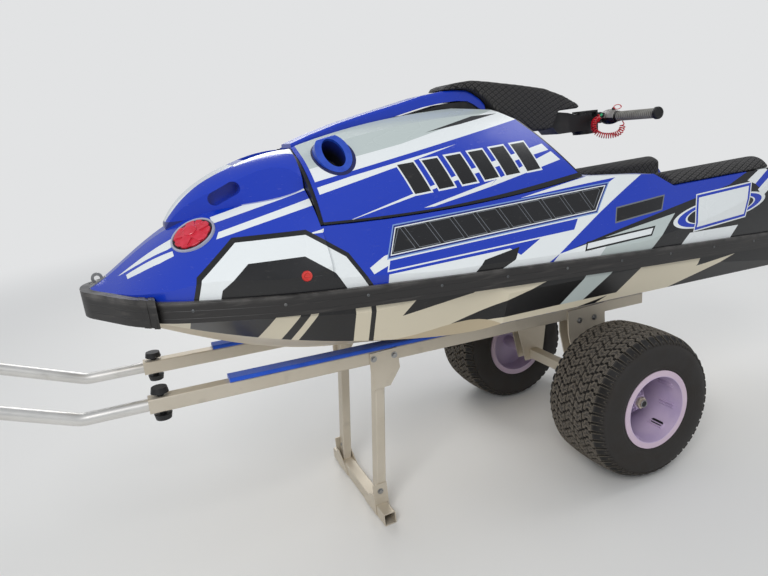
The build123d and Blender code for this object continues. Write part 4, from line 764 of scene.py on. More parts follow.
@cache
def cap_plastic():
    finish = Finish("cap_plastic", roughness=0.32, coat_weight=0.2)
    base = tuple(colours().cap)
    fade = finish.noise(40.0, 4.0).between(0.35, 0.7)
    colour = finish.mix(fade, base, tint(222, 52, 74))
    # Pale pink on the rounded edges: painted highlight
    colour = finish.mix(finish.edges(0.0012) * 0.5, colour, tint(240, 128, 140))
    finish.surface(colour, 0.26 + 0.14 * fade)
    finish.relief(finish.noise(350.0, 2.0), 0.0002, 0.3)
    return finish


@cache
def lanyard_plastic():
    finish = Finish("lanyard_plastic", roughness=0.3, coat_weight=0.3)
    shade = finish.noise(160.0, 3.0).between(0.35, 0.7)
    colour = finish.mix(shade, tuple(colours().lanyard), tint(222, 30, 44))
    finish.surface(colour, 0.24 + 0.14 * shade)
    return finish


@cache
def bunk_felt():
    finish = Finish("bunk_felt", roughness=0.95, sheen_weight=0.3)
    fibre = finish.noise(500.0, 4.0, (0.5, 1.0, 1.0))
    patch = finish.noise(12.0, 5.0).between(0.35, 0.75)
    colour = finish.mix(patch * 0.6, tuple(colours().bunk), tint(18, 62, 160))
    colour = finish.mix(fibre.between(0.55, 0.8) * 0.4, colour, tint(90, 140, 230))
    finish.surface(colour, 0.88 + 0.1 * patch)
    finish.relief(fibre, 0.0008, 0.6)
    return finish


@cache
def vent_throat():
    finish = Finish("vent_throat", roughness=0.5)
    nx, ny, nz = Vector(VENT_NORMAL).normalized()
    x, y, z = VENT_PLACE
    out = (finish.x - AXLE.x - x) * nx + (abs(finish.y) - y) * ny + (finish.z - z) * nz
    # Darker the deeper into the throat: painted shade
    colour = finish.mix(out.between(-0.045, 0.004), tint(4, 5, 14), tint(12, 34, 120))
    finish.surface(colour, 0.45 + 0.2 * finish.noise(80.0))
    return finish


# Pieces
MERGE = 0.00005


def add_object(name, data):
    """Object that shows some data, linked to the scene."""
    thing = bpy.data.objects.new(name, data)
    bpy.context.scene.collection.objects.link(thing)
    return thing


def all_of(shape):
    """Every part of a bmesh."""
    return shape.verts[:] + shape.edges[:] + shape.faces[:]


def verts_in(geometry):
    return [part for part in geometry if isinstance(part, bmesh.types.BMVert)]


def oblong(half_length, half_width):
    """Outline of a rectangle about its middle."""
    a, b = half_length, half_width
    return [(-a, -b), (a, -b), (a, b), (-a, b)]


def polar(corners, turn=0.0):
    """Outline from corners given as distance out and angle in degrees."""
    return [(out * cos(turn + radians(a)), out * sin(turn + radians(a))) for out, a in corners]


def slot_outline(half_length, radius):
    """Outline of a slot with round ends."""
    outline = []
    for angle in range(-170, 190, 20):
        shift = half_length if abs(angle) < 90 else -half_length
        turn = radians(angle)
        outline.append((shift + radius * cos(turn), radius * sin(turn)))
    return outline


def place_material(finish, *names):
    """Give a finish to whole CAD nodes."""
    for name in names:
        mesh = NODES[name].data
        mesh.materials.clear()
        mesh.materials.append(finish.material)


def make_piece(name, shape, finish, body, replaces=(), sharp=35.0):
    """Turn a finished bmesh into a piece that rides on a body."""
    mesh = bpy.data.meshes.new(name)
    shape.to_mesh(mesh)
    shape.free()
    mesh.materials.append(finish.material)
    mesh.shade_smooth()
    mesh.set_sharp_from_angle(angle=radians(sharp))
    piece = add_object(name, mesh)
    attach(piece, body)
    if replaces:
        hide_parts(*replaces)
    return piece


def smooth_out(piece):
    """Subdivision surface, alike on screen and in the render."""
    modifier = piece.modifiers.new("Subdivision", "SUBSURF")
    modifier.levels = modifier.render_levels = 1


def node_copy(name):
    """Mesh of a CAD node with its loose corners merged."""
    copy = bmesh.new()
    copy.from_mesh(NODES[name].data)
    bmesh.ops.remove_doubles(copy, verts=copy.verts, dist=MERGE)
    return copy


@cache
def surface_of(name):
    mesh = NODES[name].data
    return BVHTree.FromPolygons([v.co for v in mesh.vertices], [p.vertices for p in mesh.polygons])


def on_surface(name, start, direction):
    """Point and outward direction where a ray meets a CAD node."""
    place, normal, _, _ = surface_of(name).ray_cast(start, Vector(direction))
    if place is None:
        raise RuntimeError(f"No surface of {name} lies that way")
    return place, normal


def lathe(profile, centre, axis, segments=48):
    """Outline, points (along, out), turned about an axis through a centre."""
    axis = Vector(axis).normalized()
    out = axis.orthogonal().normalized()
    turned = bmesh.new()
    corners = [turned.verts.new(centre + axis * along + out * radius) for along, radius in profile]
    pairs = list(zip(corners, corners[1:]))
    if profile[0][1] > 0 or profile[-1][1] > 0:
        pairs.append((corners[-1], corners[0]))
    edges = [turned.edges.new(pair) for pair in pairs]
    bmesh.ops.spin(
        turned,
        geom=corners + edges,
        cent=centre,
        axis=axis,
        angle=2 * pi,
        steps=segments,
        use_merge=True,
    )
    bmesh.ops.remove_doubles(turned, verts=turned.verts, dist=0.00001)
    bmesh.ops.recalc_face_normals(turned, faces=turned.faces)
    return turned


def add_to(main, other):
    """Move one bmesh into another."""
    mesh = bpy.data.meshes.new("part")
    other.to_mesh(mesh)
    other.free()
    main.from_mesh(mesh)
    bpy.data.meshes.remove(mesh)
    return main


def slab(outline, height, bevel):
    """Flat outline raised to a height, with its upper edges rounded."""
    block = bmesh.new()
    face = block.faces.new([block.verts.new((x, y, 0.0)) for x, y in outline])
    raised = bmesh.ops.extrude_face_region(block, geom=[face])["geom"]
    bmesh.ops.translate(block, verts=verts_in(raised), vec=(0.0, 0.0, height))
    rim = [e for e in block.edges if all(v.co.z > height / 2 for v in e.verts)]
    bmesh.ops.bevel(
        block,
        geom=rim,
        offset=bevel,
        offset_type="OFFSET",
        segments=2 if bevel > 0.0015 else 1,
        profile=0.5,
        affect="EDGES",
        material=-1,
    )
    bmesh.ops.recalc_face_normals(block, faces=block.faces)
    return block


def stand_on(shape, place, normal, along=(1.0, 0.0, 0.0)):
    """Turn a shape made on the XY plane so that it stands on a surface."""
    up = Vector(normal).normalized()
    first = Vector(along) - up * up.dot(Vector(along))
    first.normalize()
    second = up.cross(first)
    turn = Matrix((first, second, up)).transposed().to_4x4()
    bmesh.ops.transform(shape, matrix=Matrix.Translation(place) @ turn, verts=shape.verts)
    return shape


def fastener(place, normal, radius, height):
    """Dome head with a socket in its middle."""
    profile = [
        (-0.001, 0.0),
        (-0.001, radius),
        (height * 0.45, radius),
        (height * 0.9, radius * 0.72),
        (height, radius * 0.45),
        (height * 0.4, radius * 0.4),
        (height * 0.4, 0.0),
    ]
    return lathe(profile, place, normal, 12)


def hexagon_bolt(place, normal, radius):
    """Hexagon head on a round washer."""
    washer = [(-0.001, 0.0), (-0.001, radius * 1.55), (0.0012, radius * 1.5), (0.0012, 0.0)]
    head = slab(polar([(radius, 60 * i) for i in range(6)]), 0.0045, 0.0006)
    stand_on(head, place + Vector(normal).normalized() * 0.001, normal, (0.3, 0.4, 0.85))
    return add_to(lathe(washer, place, normal, 20), head)


def nurbs(name, points, resolution):
    """Curve that has the given points as its control points."""
    curve = bpy.data.curves.new(name, "CURVE")
    curve.dimensions = "3D"
    curve.resolution_u = resolution
    spline = curve.splines.new("NURBS")
    spline.points.add(len(points) - 1)
    for point, place in zip(spline.points, points):
        point.co = (*place, 1.0)
    spline.order_u = 3
    spline.use_endpoint_u = True
    return curve


def spline_line(points):
    """Points of the smooth line that a curve follows."""
    curve = nurbs("line", points, 24)
    line = bpy.data.objects.new("line", curve)
    mesh = bpy.data.meshes.new_from_object(line)
    found = [v.co.copy() for v in mesh.vertices]
    bpy.data.objects.remove(line)
    bpy.data.curves.remove(curve)
    bpy.data.meshes.remove(mesh)
    return found


def evenly(points, count):
    """Points spaced evenly along a line, and the line's length."""
    reach = [0.0]
    for before, after in zip(points, points[1:]):
        reach.append(reach[-1] + (after - before).length)
    spaced = []
    index = 0
    for step in range(count):
        want = reach[-1] * step / (count - 1)
        while index < len(points) - 2 and reach[index + 1] < want:
            index += 1
        span = reach[index + 1] - reach[index]
        share = (want - reach[index]) / span if span else 0.0
        spaced.append(points[index].lerp(points[index + 1], share))
    return spaced, reach[-1]


# Stage: lamps with place, width and power, and the place and turn of the camera
LAMPS = (
    ("key_light", (-2.6, -3.2, 3.6), 2.2, 100.0),
    ("fill_light", (3.4, -0.4, 3.6), 2.6, 40.0),
    ("back_light", (0.4, 3.4, 3.2), 2.6, 60.0),
)
LAMP_AIM = Vector((0.0, 0.0, 0.6))
CAMERA_PLACE = (-0.7807, -1.6664, 1.1179)
CAMERA_RIGHT = Vector((0.91086, -0.39766, -0.11036))
CAMERA_DOWN = Vector((-0.20109, -0.19417, -0.96012))
CAMERA_AHEAD = Vector((0.36038, 0.89674, -0.25684))
CAMERA_LENS = 28.34
FLOOR_RADIUS = 14.0
# The floor fades into the backdrop between these distances from its middle
FLOOR_FADE = (2.2, 7.0)


def make_stage():
    """Floor, soft studio lights and the camera of the photograph."""
    floor_mesh = bmesh.new()
    bmesh.ops.create_circle(floor_mesh, cap_ends=True, segments=96, radius=FLOOR_RADIUS)
    mesh = bpy.data.meshes.new("floor")
    floor_mesh.to_mesh(mesh)
    floor_mesh.free()
    floor = add_object("floor", mesh)
    floor.location.z = -0.001
    plain = Finish("floor_pale", roughness=0.9)
    cloud = plain.noise(0.8) * 0.4
    plain.give("Base Color", plain.mix(cloud, tint(232, 231, 228), tint(222, 220, 216)))
    distance = (plain.x * plain.x + plain.y * plain.y) ** 0.5
    far = plain.node("ShaderNodeEmission", {}, {0: BACKDROP, 1: 1.0})
    seen = Value(plain, plain.node("ShaderNodeLightPath").outputs["Is Camera Ray"])
    fade = distance.between(*FLOOR_FADE) * seen
    blend = {0: fade, 1: plain.shader.outputs[0], 2: far.outputs[0]}
    surface = plain.node("ShaderNodeMixShader", {}, blend)
    plain.join(plain.tree.nodes["Material Output"].inputs[0], surface.outputs[0])
    mesh.materials.append(plain.material)

    world = bpy.data.worlds.new("studio")
    world.use_nodes = True
    bpy.context.scene.world = world
    sky = Nodes(world.node_tree)
    light = sky.tree.nodes["Background"]
    sky.join(light.inputs[0], (0.90, 0.94, 1.0))
    sky.join(light.inputs[1], 0.5)
    seen = sky.node("ShaderNodeBackground", {}, {0: BACKDROP, 1: 1.0})
    path = sky.node("ShaderNodeLightPath")
    clear = sky.node(
        "ShaderNodeMath",
        {"operation": "MAXIMUM"},
        {0: path.outputs["Is Camera Ray"], 1: path.outputs["Is Transmission Ray"]},
    )
    blend = {0: clear.outputs[0], 1: light.outputs[0], 2: seen.outputs[0]}
    choose = sky.node("ShaderNodeMixShader", {}, blend)
    sky.join(sky.tree.nodes["World Output"].inputs[0], choose.outputs[0])

    for name, place, size, power in LAMPS:
        lamp = bpy.data.lights.new(name, "AREA")
        lamp.shape = "DISK"
        lamp.size = size
        lamp.energy = power
        lamp_object = add_object(name, lamp)
        lamp_object.location = place
        aim = LAMP_AIM - Vector(place)
        lamp_object.rotation_euler = aim.to_track_quat("-Z", "Y").to_euler()

    camera_data = bpy.data.cameras.new("camera")
    camera_data.lens = CAMERA_LENS
    camera_data.sensor_width = 36.0
    camera = add_object("camera", camera_data)
    turn = Matrix((CAMERA_RIGHT, -CAMERA_DOWN, -CAMERA_AHEAD)).transposed().to_4x4()
    camera.matrix_world = Matrix.Translation(CAMERA_PLACE) @ turn
    bpy.context.scene.camera = camera
    bpy.context.scene.view_settings.view_transform = "Standard"


# Lanyard: middle line of its coil, and points in each turn
LANYARD_ROUTE = mm([
    (185.7, -54, 1064), (163, -54, 1064), (145, -61, 1050), (142, -67, 1030), (154, -75, 1014),
    (176, -88, 1007), (197, -103, 1008), (207, -117, 1017), (208, -124, 1034), (207, -124, 1050.2),
])
COIL_STEPS = 14
# Turns over which the coil opens out at each end
COIL_RAMP = 2.5


def make_lanyard():
    """Curly cord from the stop switch, round under the port grip."""
    wire = sizes().wire
    coil = sizes().coil
    ramp = COIL_RAMP * COIL_STEPS
    line = spline_line([at(*place) for place in LANYARD_ROUTE])
    reach = evenly(line, 2)[1]
    turns = round(reach / sizes().coil_pitch)
    count = turns * COIL_STEPS + 1
    spaced = evenly(line, count)[0]
    side = (spaced[1] - spaced[0]).orthogonal().normalized()
    helix = []
    turn = 0.0
    for index, place in enumerate(spaced):
        ahead = spaced[min(index + 1, count - 1)] - spaced[max(index - 1, 0)]
        ahead.normalize()
        side = (side - ahead * side.dot(ahead)).normalized()
        other = ahead.cross(side)
        grow = min(1.0, index / ramp, (count - 1 - index) / ramp)
        turn += 2 * pi * grow * grow / COIL_STEPS
        helix.append(place + (side * cos(turn) + other * sin(turn)) * (coil * grow))
    curve = nurbs("lanyard_coil", helix, 3)
    curve.bevel_depth = wire / 2
    curve.bevel_resolution = 2
    curve.use_fill_caps = True
    curve.materials.append(lanyard_plastic().material)
    piece = add_object("lanyard_coil", curve)
    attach(piece, "bars")
    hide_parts("lanyard")
    smooth_helix = spline_line(helix)


# Tyres and rims
# Half section of a tyre and of its tread: in from the side, and radius
CARCASS = mm([
    (18, 118.3), (10.5, 122.5), (6.5, 126.2), (8.5, 129), (4, 133.5), (1.6, 145), (0.8, 160),
    (1.8, 176), (5, 189), (10.5, 198.5), (18.5, 205), (30, 211), (44, 215), (62, 217.8),
    (85, 219.5), (115, 220.3),
])
TREAD = mm([(6, 196), (16, 210.5), (40, 222.5), (80, 227), (125, 228.5)])
# Outline of a lug: along the tread and across it, in pitches
LUG = [
    (0.48, -0.43), (0.48, -0.22), (0.20, -0.10), (0.20, 0.10), (0.48, 0.22), (0.48, 0.43),
    (-0.22, 0.43), (-0.22, 0.26), (-0.50, 0.13), (-0.50, -0.13), (-0.22, -0.26), (-0.22, -0.43),
]
LUG_WIDTH = 0.0352
LUG_COLUMNS = (-0.070, -0.035, 0.0, 0.035, 0.070)
# Top of a lug: its rim, and the width and depth of the step inside the rim
LUG_RIM = 0.0030
LUG_STEP = 0.0007
LUG_DISH = 0.0016
LUG_BEVEL = 0.0010
# Depth of the lugs below the tread, and the notched block of a shoulder
LUG_ROOT = 0.002
SHOULDER_SINK = 0.004
SHOULDER_IN = 0.025
SHOULDER = mm([(-11.5, -14), (11.5, -14), (11.5, 14), (3, 14), (0, 9), (-3, 14), (-11.5, 14)])


def tread_radius(inward):
    """Radius of the worn-in tread at a distance in from the side."""
    for (s0, r0), (s1, r1) in zip(TREAD, TREAD[1:]):
        if inward <= s1:
            return r0 + (r1 - r0) * (inward - s0) / (s1 - s0)
    return TREAD[-1][1]


def wrap_on_tyre(block, across, ahead, centre):
    """Bend a flat block, with its top at zero, round the tyre."""
    for vert in block.verts:
        over = vert.co.y + across
        radius = tread_radius(TYRE_W / 2 - abs(over)) + vert.co.z
        angle = (vert.co.x + ahead) / TYRE_R
        vert.co = centre + Vector((sin(angle) * radius, over, cos(angle) * radius))
    return block


def tread_pitch(centre):
    """One row of lugs across a tyre, with its shoulder ribs."""
    pitch = 2 * pi * TYRE_R / sizes().lug_pitches
    height = sizes().lug_height + LUG_ROOT
    row = bmesh.new()
    for index, across in enumerate(LUG_COLUMNS):
        flip = 1 if index % 2 else -1
        outline = [(flip * u * pitch, v * LUG_WIDTH) for u, v in LUG]
        block = slab(outline, height, LUG_BEVEL)
        top = [f for f in block.faces if f.normal.z > 0.9 and f.calc_area() > 0.0001]
        bmesh.ops.inset_region(block, faces=top, thickness=LUG_RIM, depth=0.0)
        bmesh.ops.inset_region(block, faces=top, thickness=LUG_STEP, depth=-LUG_DISH)
        bmesh.ops.triangulate(block, faces=top)
        bmesh.ops.translate(block, verts=block.verts, vec=(0.0, 0.0, -height))
        add_to(row, wrap_on_tyre(block, across, pitch * 0.5 * (index % 2), centre))
    for side in (PORT, STARBOARD):
        outline = [(x, side * y) for x, y in SHOULDER]
        block = slab(outline, height - SHOULDER_SINK, LUG_BEVEL)
        bmesh.ops.translate(block, verts=block.verts, vec=(0.0, 0.0, SHOULDER_SINK - height))
        add_to(row, wrap_on_tyre(block, side * (TYRE_W / 2 - SHOULDER_IN), 0.0, centre))
    return row


def make_tyres():
    """Carcass and block tread of both tyres."""
    for side, word in SIDES:
        centre = at(0.0, side * HALF_TRACK, AXLE.z)
        half = TYRE_W / 2
        outer = [(half - inward, radius) for inward, radius in CARCASS]
        inner = [(-along, radius) for along, radius in reversed(outer)]
        carcass = lathe(outer + inner, centre, (0.0, 1.0, 0.0), 64)
        body = f"wheel_{word}"
        node = f"tyre_{word}"
        rubber = tyre_rubber()
        smooth_out(make_piece(f"tyre_carcass_{word}", carcass, rubber, body, [node], 60.0))
        row = tread_pitch(centre)
        pitches = sizes().lug_pitches
        bmesh.ops.spin(
            row,
            geom=all_of(row),
            cent=centre,
            axis=(0.0, 1.0, 0.0),
            angle=2 * pi * (pitches - 1) / pitches,
            steps=pitches - 1,
            use_duplicate=True,
        )
        bmesh.ops.recalc_face_normals(row, faces=row.faces)
        make_piece(f"tyre_tread_{word}", row, rubber, body, sharp=30.0)


# Mould lines come in pairs at these angles. The valve's pocket is at its own angle.
MOULD_LINES = (-118, -58, -16, 24, 62, 122, 170)
MOULD_LINE_SPREAD = 2.6
MOULD_LINE = (0.026, 0.0019)
VALVE_ANGLE = -54
RIM_MIDDLE = 0.062
# Half length and radius of the pocket, and how far its frame reaches beyond them
POCKET = (0.014, 0.0075)
FRAME_REACH = (1.22, 1.4)


def in_barrel(side, word, angle):
    """Point and outward direction in a rim's barrel, at an angle about the axle."""
    out = Vector((cos(radians(angle)), 0.0, sin(radians(angle))))
    start = at(0.0, side * (HALF_TRACK + RIM_MIDDLE), AXLE.z) + out * 0.06
    return on_surface(f"rim_{word}", start, out)


def make_rims():
    """Mould lines and valve pocket of both rims."""
    for side, word in SIDES:
        body = f"wheel_{word}"
        ahead = (0.0, side, 0.0)
        lines = bmesh.new()
        for angle in MOULD_LINES:
            for shift in (-MOULD_LINE_SPREAD, MOULD_LINE_SPREAD):
                place, normal = in_barrel(side, word, angle + shift)
                bar = slab(oblong(*MOULD_LINE), 0.0070, 0.0014)
                add_to(lines, stand_on(bar, place - normal * 0.001, normal, ahead))
        make_piece(f"rim_mould_lines_{word}", lines, rim_paint(), body)
        place, normal = in_barrel(side, word, VALVE_ANGLE)
        oval = slot_outline(*POCKET)
        wide, high = FRAME_REACH
        ring = slab([(wide * x, high * y) for x, y in oval], 0.0022, 0.0012)
        for name, shape, finish in (
            ("valve_frame", ring, rim_paint()),
            ("valve_pocket", slab(oval, 0.0040, 0.0006), paint("black_plastic")),
        ):
            stand_on(shape, place, normal, ahead)
            make_piece(f"{name}_{word}", shape, finish, body)


# Foam
def soft_copy(name, rounds, finish, body):
    """Rounded foam piece in the place of a CAD pad."""
    source = bpy.data.meshes.new(name)
    copy = node_copy(name)
    copy.to_mesh(source)
    copy.free()
    rough = add_object(name + "_rough", source)
    modifier = rough.modifiers.new("Remesh", "REMESH")
    modifier.mode = "VOXEL"
    modifier.voxel_size = sizes().voxel
    view = bpy.context.evaluated_depsgraph_get()
    even = bpy.data.meshes.new_from_object(rough.evaluated_get(view))
    shape = bmesh.new()
    shape.from_mesh(even)
    bpy.data.objects.remove(rough)
    bpy.data.meshes.remove(even)
    axes = {"use_axis_x": True, "use_axis_y": True, "use_axis_z": True}
    for _ in range(rounds):
        bmesh.ops.smooth_vert(shape, verts=shape.verts, factor=0.5, **axes)
    piece = make_piece(f"{name}_foam", shape, finish, body, [name], 180.0)


def make_foam():
    """Gunwale pads, chin pad and standing mat."""
    for _, word in SIDES:
        soft_copy(f"gunwale_pad_{word}", 5, foam("side_foam"), "craft")
    soft_copy("chin_pad", 4, foam("chin_foam"), "pole")
    soft_copy("tray_mat", 2, foam("tray_foam"), "craft")


# Rails, gasket and small fittings of the craft
SCREWED_RAIL = (-1.21, 0.74)
# Gasket ahead of the hood: its width, and its scale about a height
GASKET_WIDTH = 0.0115
GASKET_INSET = 0.985
GASKET_MIDDLE = 0.95
# Throat of a vent: depth and narrowing of each step
THROAT_STEPS = ((0.018, 0.97), (0.025, 0.88), (0.020, 0.75))
# Start of the rays that find a side surface, from the middle
BESIDE = 0.6
# Collars of the bumper: from, to and how far they stand out
COLLARS = ((-1.318, -1.304, 0.0016), (-1.298, -1.2855, 0.0026))


def collar(node, start, end, grow):
    """Band round a CAD node between two planes, stood off its surface."""
    band = node_copy(node)
    for x, way in ((start, -1.0), (end, 1.0)):
        bmesh.ops.bisect_plane(
            band,
            geom=all_of(band),
            plane_co=(x, 0.0, 0.0),
            plane_no=(way, 0.0, 0.0),
            clear_outer=True,
        )
    bmesh.ops.recalc_face_normals(band, faces=band.faces)
    band.normal_update()
    for vert in band.verts:
        vert.co += Vector((0.0, vert.normal.y, vert.normal.z)) * grow
    bmesh.ops.holes_fill(band, edges=[e for e in band.edges if e.is_boundary])
    bmesh.ops.recalc_face_normals(band, faces=band.faces)
    return band


def make_rail_trim():
    """Screws of the bond rail and moulded collars of the bumper."""
    screws = bmesh.new()
    start, end = SCREWED_RAIL
    spacing = sizes().screw_spacing
    count = int((end - start) / spacing) + 1
    for side, _ in SIDES:
        for index in range(count):
            x = start + index * spacing
            beside = at(x, side * BESIDE, SHEER_Z - x * SHEER_FALL + 0.004)
            place, normal = on_surface("bond_rail", beside, (0.0, -side, 0.0))
            add_to(screws, fastener(place, normal, 0.0038, 0.0018))
    make_piece("rail_screws", screws, metal("pump_metal"), "craft")
    collars = bmesh.new()
    for start, end, grow in COLLARS:
        add_to(collars, collar("nose_bumper", AXLE.x + start, AXLE.x + end, grow))
    make_piece("bumper_collars", collars, rail_rubber(), "craft")


def make_gasket():
    """Rubber in the seam ahead of the hood."""
    ring = node_copy("hood")
    bmesh.ops.bisect_plane(
        ring,
        geom=all_of(ring),
        plane_co=(HOOD_FRONT + 0.002, 0.0, 0.0),
        plane_no=(1.0, 0.0, 0.0),
        clear_inner=True,
        clear_outer=True,
    )
    bmesh.ops.remove_doubles(ring, verts=ring.verts, dist=0.0002)
    bmesh.ops.triangle_fill(ring, use_beauty=True, edges=ring.edges)
    raised = bmesh.ops.extrude_face_region(ring, geom=ring.faces[:])["geom"]
    bmesh.ops.translate(ring, verts=verts_in(raised), vec=(-GASKET_WIDTH, 0.0, 0.0))
    about = Matrix.Translation((0.0, 0.0, -GASKET_MIDDLE))
    inset = (1.0, GASKET_INSET, GASKET_INSET)
    bmesh.ops.scale(ring, verts=ring.verts, vec=inset, space=about)
    bmesh.ops.recalc_face_normals(ring, faces=ring.faces)
    make_piece("hood_gasket", ring, paint("gasket_rubber"), "craft")


def make_vents():
    """Throats behind the two hood vents."""
    throats = bmesh.new()
    for side, _ in SIDES:
        normal = Vector(VENT_NORMAL).normalized()
        normal.y *= side
        first = Vector((1.0, 0.0, -normal.x / normal.z)).normalized()
        tube = bmesh.new()
        mouth = bmesh.ops.create_circle(tube, cap_ends=False, segments=48, radius=1.0)["verts"]
        bmesh.ops.scale(tube, verts=mouth, vec=(*VENT_MOUTH, 1.0))
        ring = tube.edges[:]
        for drop, shrink in THROAT_STEPS:
            grown = bmesh.ops.extrude_edge_only(tube, edges=ring)["geom"]
            ring = [e for e in grown if isinstance(e, bmesh.types.BMEdge)]
            verts = verts_in(grown)
            bmesh.ops.translate(tube, verts=verts, vec=(0.0, 0.0, -drop))
            bmesh.ops.scale(tube, verts=verts, vec=(shrink, shrink, 1.0))
        bmesh.ops.contextual_create(tube, geom=ring)
        bmesh.ops.solidify(tube, geom=tube.faces[:], thickness=0.002)
        x, y, z = VENT_PLACE
        add_to(throats, stand_on(tube, at(x, side * y, z), normal, first))
    bmesh.ops.recalc_face_normals(throats, faces=throats.faces)
    make_piece("vent_throats", throats, vent_throat(), "craft")


# Plate of the bow eye: place, half sizes, thickness and how far out its screws are
EYE_PLATE_X = -1.405
EYE_PLATE = (0.024, 0.011)
EYE_PLATE_THICK = 0.0022
EYE_SCREWS = 0.017
# Drain bung: x and height, half sizes of its grip, half section along and out
BUNG_X = -0.949
BUNG_Z = 0.802
BUNG_GRIP = (0.0062, 0.0016)
BUNG = mm([(-2, 0), (-2, 12.5), (3, 12.5), (5.2, 10.5), (5.6, 8), (3.6, 6.6), (3.6, 0)])


def make_bow_fittings():
    """Plate under the bow eye and the red drain bungs."""
    place, normal = on_surface("deck", at(EYE_PLATE_X, 0.0, 1.2), (0.0, 0.0, -1.0))
    plate = stand_on(slab(oblong(*EYE_PLATE), EYE_PLATE_THICK, 0.0008), place, normal)
    for shift in (-EYE_SCREWS, EYE_SCREWS):
        spot = place + Vector((shift, 0.0, 0.0)) + normal * 0.002
        add_to(plate, fastener(spot, normal, 0.0036, 0.0018))
    make_piece("bow_eye_plate", plate, metal("stainless"), "craft")
    bungs = bmesh.new()
    for side, _ in SIDES:
        place, normal = on_surface("deck", at(BUNG_X, side * BESIDE, BUNG_Z), (0.0, -side, 0.0))
        add_to(bungs, lathe(BUNG, place, normal, 28))
        bar = slab(oblong(*BUNG_GRIP), 0.0022, 0.0006)
        add_to(bungs, stand_on(bar, place + normal * 0.0036, normal))
    make_piece("drain_bungs", bungs, paint("bright_red"), "craft")


# Fuel cap: place on the deck and outward direction
CAP_PLACE = (-1.1684, -0.1467, 0.9168)
CAP_NORMAL = (-0.364, -0.425, 0.83)
CAP_ARMS = 5
CAP_NOTCHES = 10
CAP_TURN = 0.2
# Top of an arm: rise at its middle and fall outwards, above a height
ARM_RISE = 0.0045
ARM_FALL = 0.19
ARM_TOP_FROM = 0.006
ARM_HEIGHT = 0.0120
NOTCH_HEIGHT = 0.0062
# Half sections of its parts: along and out
CAP_SEAT = mm(
    [(-20, 48), (-20, 57.2), (1.5, 57.2), (3.4, 56), (3.6, 52.8), (2.4, 51.5), (0, 51.5), (0, 48)]
)
CAP_WELL = mm([(-4, 0), (-4, 51.3), (1.2, 51.3), (1.2, 0)])
CAP_BODY = mm(
    [(0, 0), (0, 44.5), (4, 44.5), (4.8, 43.2), (7.2, 17.5), (16, 17), (17.2, 15.4), (16.8, 0)]
)
# Outlines of an arm and of a grip notch: distance out and angle in degrees
CAP_ARM = ((0.015, -62), (0.044, -15), (0.0456, -8), (0.0456, 8), (0.044, 15), (0.015, 62))
CAP_NOTCH = ((0.040, -11), (0.047, -10), (0.0474, 0), (0.047, 10), (0.040, 11))


def make_fuel_cap():
    """Seat ring, well and faceted screw cap."""
    place = at(*CAP_PLACE)
    normal = Vector(CAP_NORMAL).normalized()
    seat = lathe(CAP_SEAT, place, normal, 72)
    make_piece("cap_seat", seat, paint("seat_plastic"), "craft", ["fuel_cap"], 50.0)
    well = lathe(CAP_WELL, place, normal, 60)
    make_piece("cap_well", well, paint("gasket_rubber"), "craft")
    cap = lathe(CAP_BODY, place, normal, 60)
    for index in range(CAP_ARMS):
        arm = slab(polar(CAP_ARM, 2 * pi * index / CAP_ARMS + CAP_TURN), ARM_HEIGHT, 0.0009)
        for vert in arm.verts:
            if vert.co.z > ARM_TOP_FROM:
                vert.co.z += ARM_RISE - ARM_FALL * vert.co.xy.length
        add_to(cap, stand_on(arm, place, normal))
    for index in range(CAP_NOTCHES):
        turn = 2 * pi * (index + 0.5) / CAP_NOTCHES
        notch = slab(polar(CAP_NOTCH, turn), NOTCH_HEIGHT, 0.0008)
        add_to(cap, stand_on(notch, place, normal))
    make_piece("fuel_cap_star", cap, cap_plastic(), "craft")


# Bars: half sections of the turned parts, along and out
GRIP_CAP = mm(
    [
        (257.5, 0), (257.5, 17.2), (259.5, 18.4), (268, 18.4), (271.2, 16.8), (271.8, 13),
        (270.2, 12), (270.2, 0),
    ]
)
GRIP_COLLAR = mm(
    [(103.5, 11.2), (103.5, 15), (104.5, 16.8), (108.5, 16.8), (109.5, 15), (109.5, 11.2)]
)
POD = mm(
    [
        (36, 11.2), (36.2, 14), (40, 18.2), (48, 22), (60, 24.2), (73.5, 24.6), (85, 23.2),
        (93, 20.6), (96, 19.8),
    ]
)
POD_RIM = mm([(96.8, 18.6), (99.6, 18), (99.6, 11.2)])
BAR_RADIUS = 0.0112
# The switch pod is flattened and tilted, and the throttle pod is a smaller one
POD_FLATTEN = 0.92
POD_TILT = radians(20.0)
THROTTLE_SCALE = 0.86
THROTTLE_END = 0.0945
START_BUTTON = mm([(0, 0), (0, 5.2), (3, 5), (4, 4), (4.2, 0)])
CHOKE_KNOB = mm([(0, 0), (0, 6), (6, 5.4), (8.5, 3), (9, 0)])
STOP_KEY = mm([(0, 0), (0, 5.2), (3, 5.6), (10.5, 4.6), (12.5, 3), (13, 0)])
KEY_AXIS = (-1.0, 0.35, 0.05)
# Switch plate: place along the bar, outward direction and reach, half sizes
SWITCH_AT = Vector((0.0, -0.056, 0.0))
SWITCH_OUT = Vector((-0.93, -0.08, 0.36))
SWITCH_REACH = 0.0215
SWITCH_PLATE = (0.0125, 0.0088)
# Places of the choke knob and of the stop key from the bar's middle
KNOB_PLACE = Vector((0.0, -0.086, 0.0205))
KEY_PLACE = Vector((-0.0215, -0.052, -0.001))
# Grip: where its sleeve ends, its radius and the depth of its rings
SLEEVE_END = 0.259
SLEEVE_RADIUS = 0.0152
RING_DEPTH = 0.0012
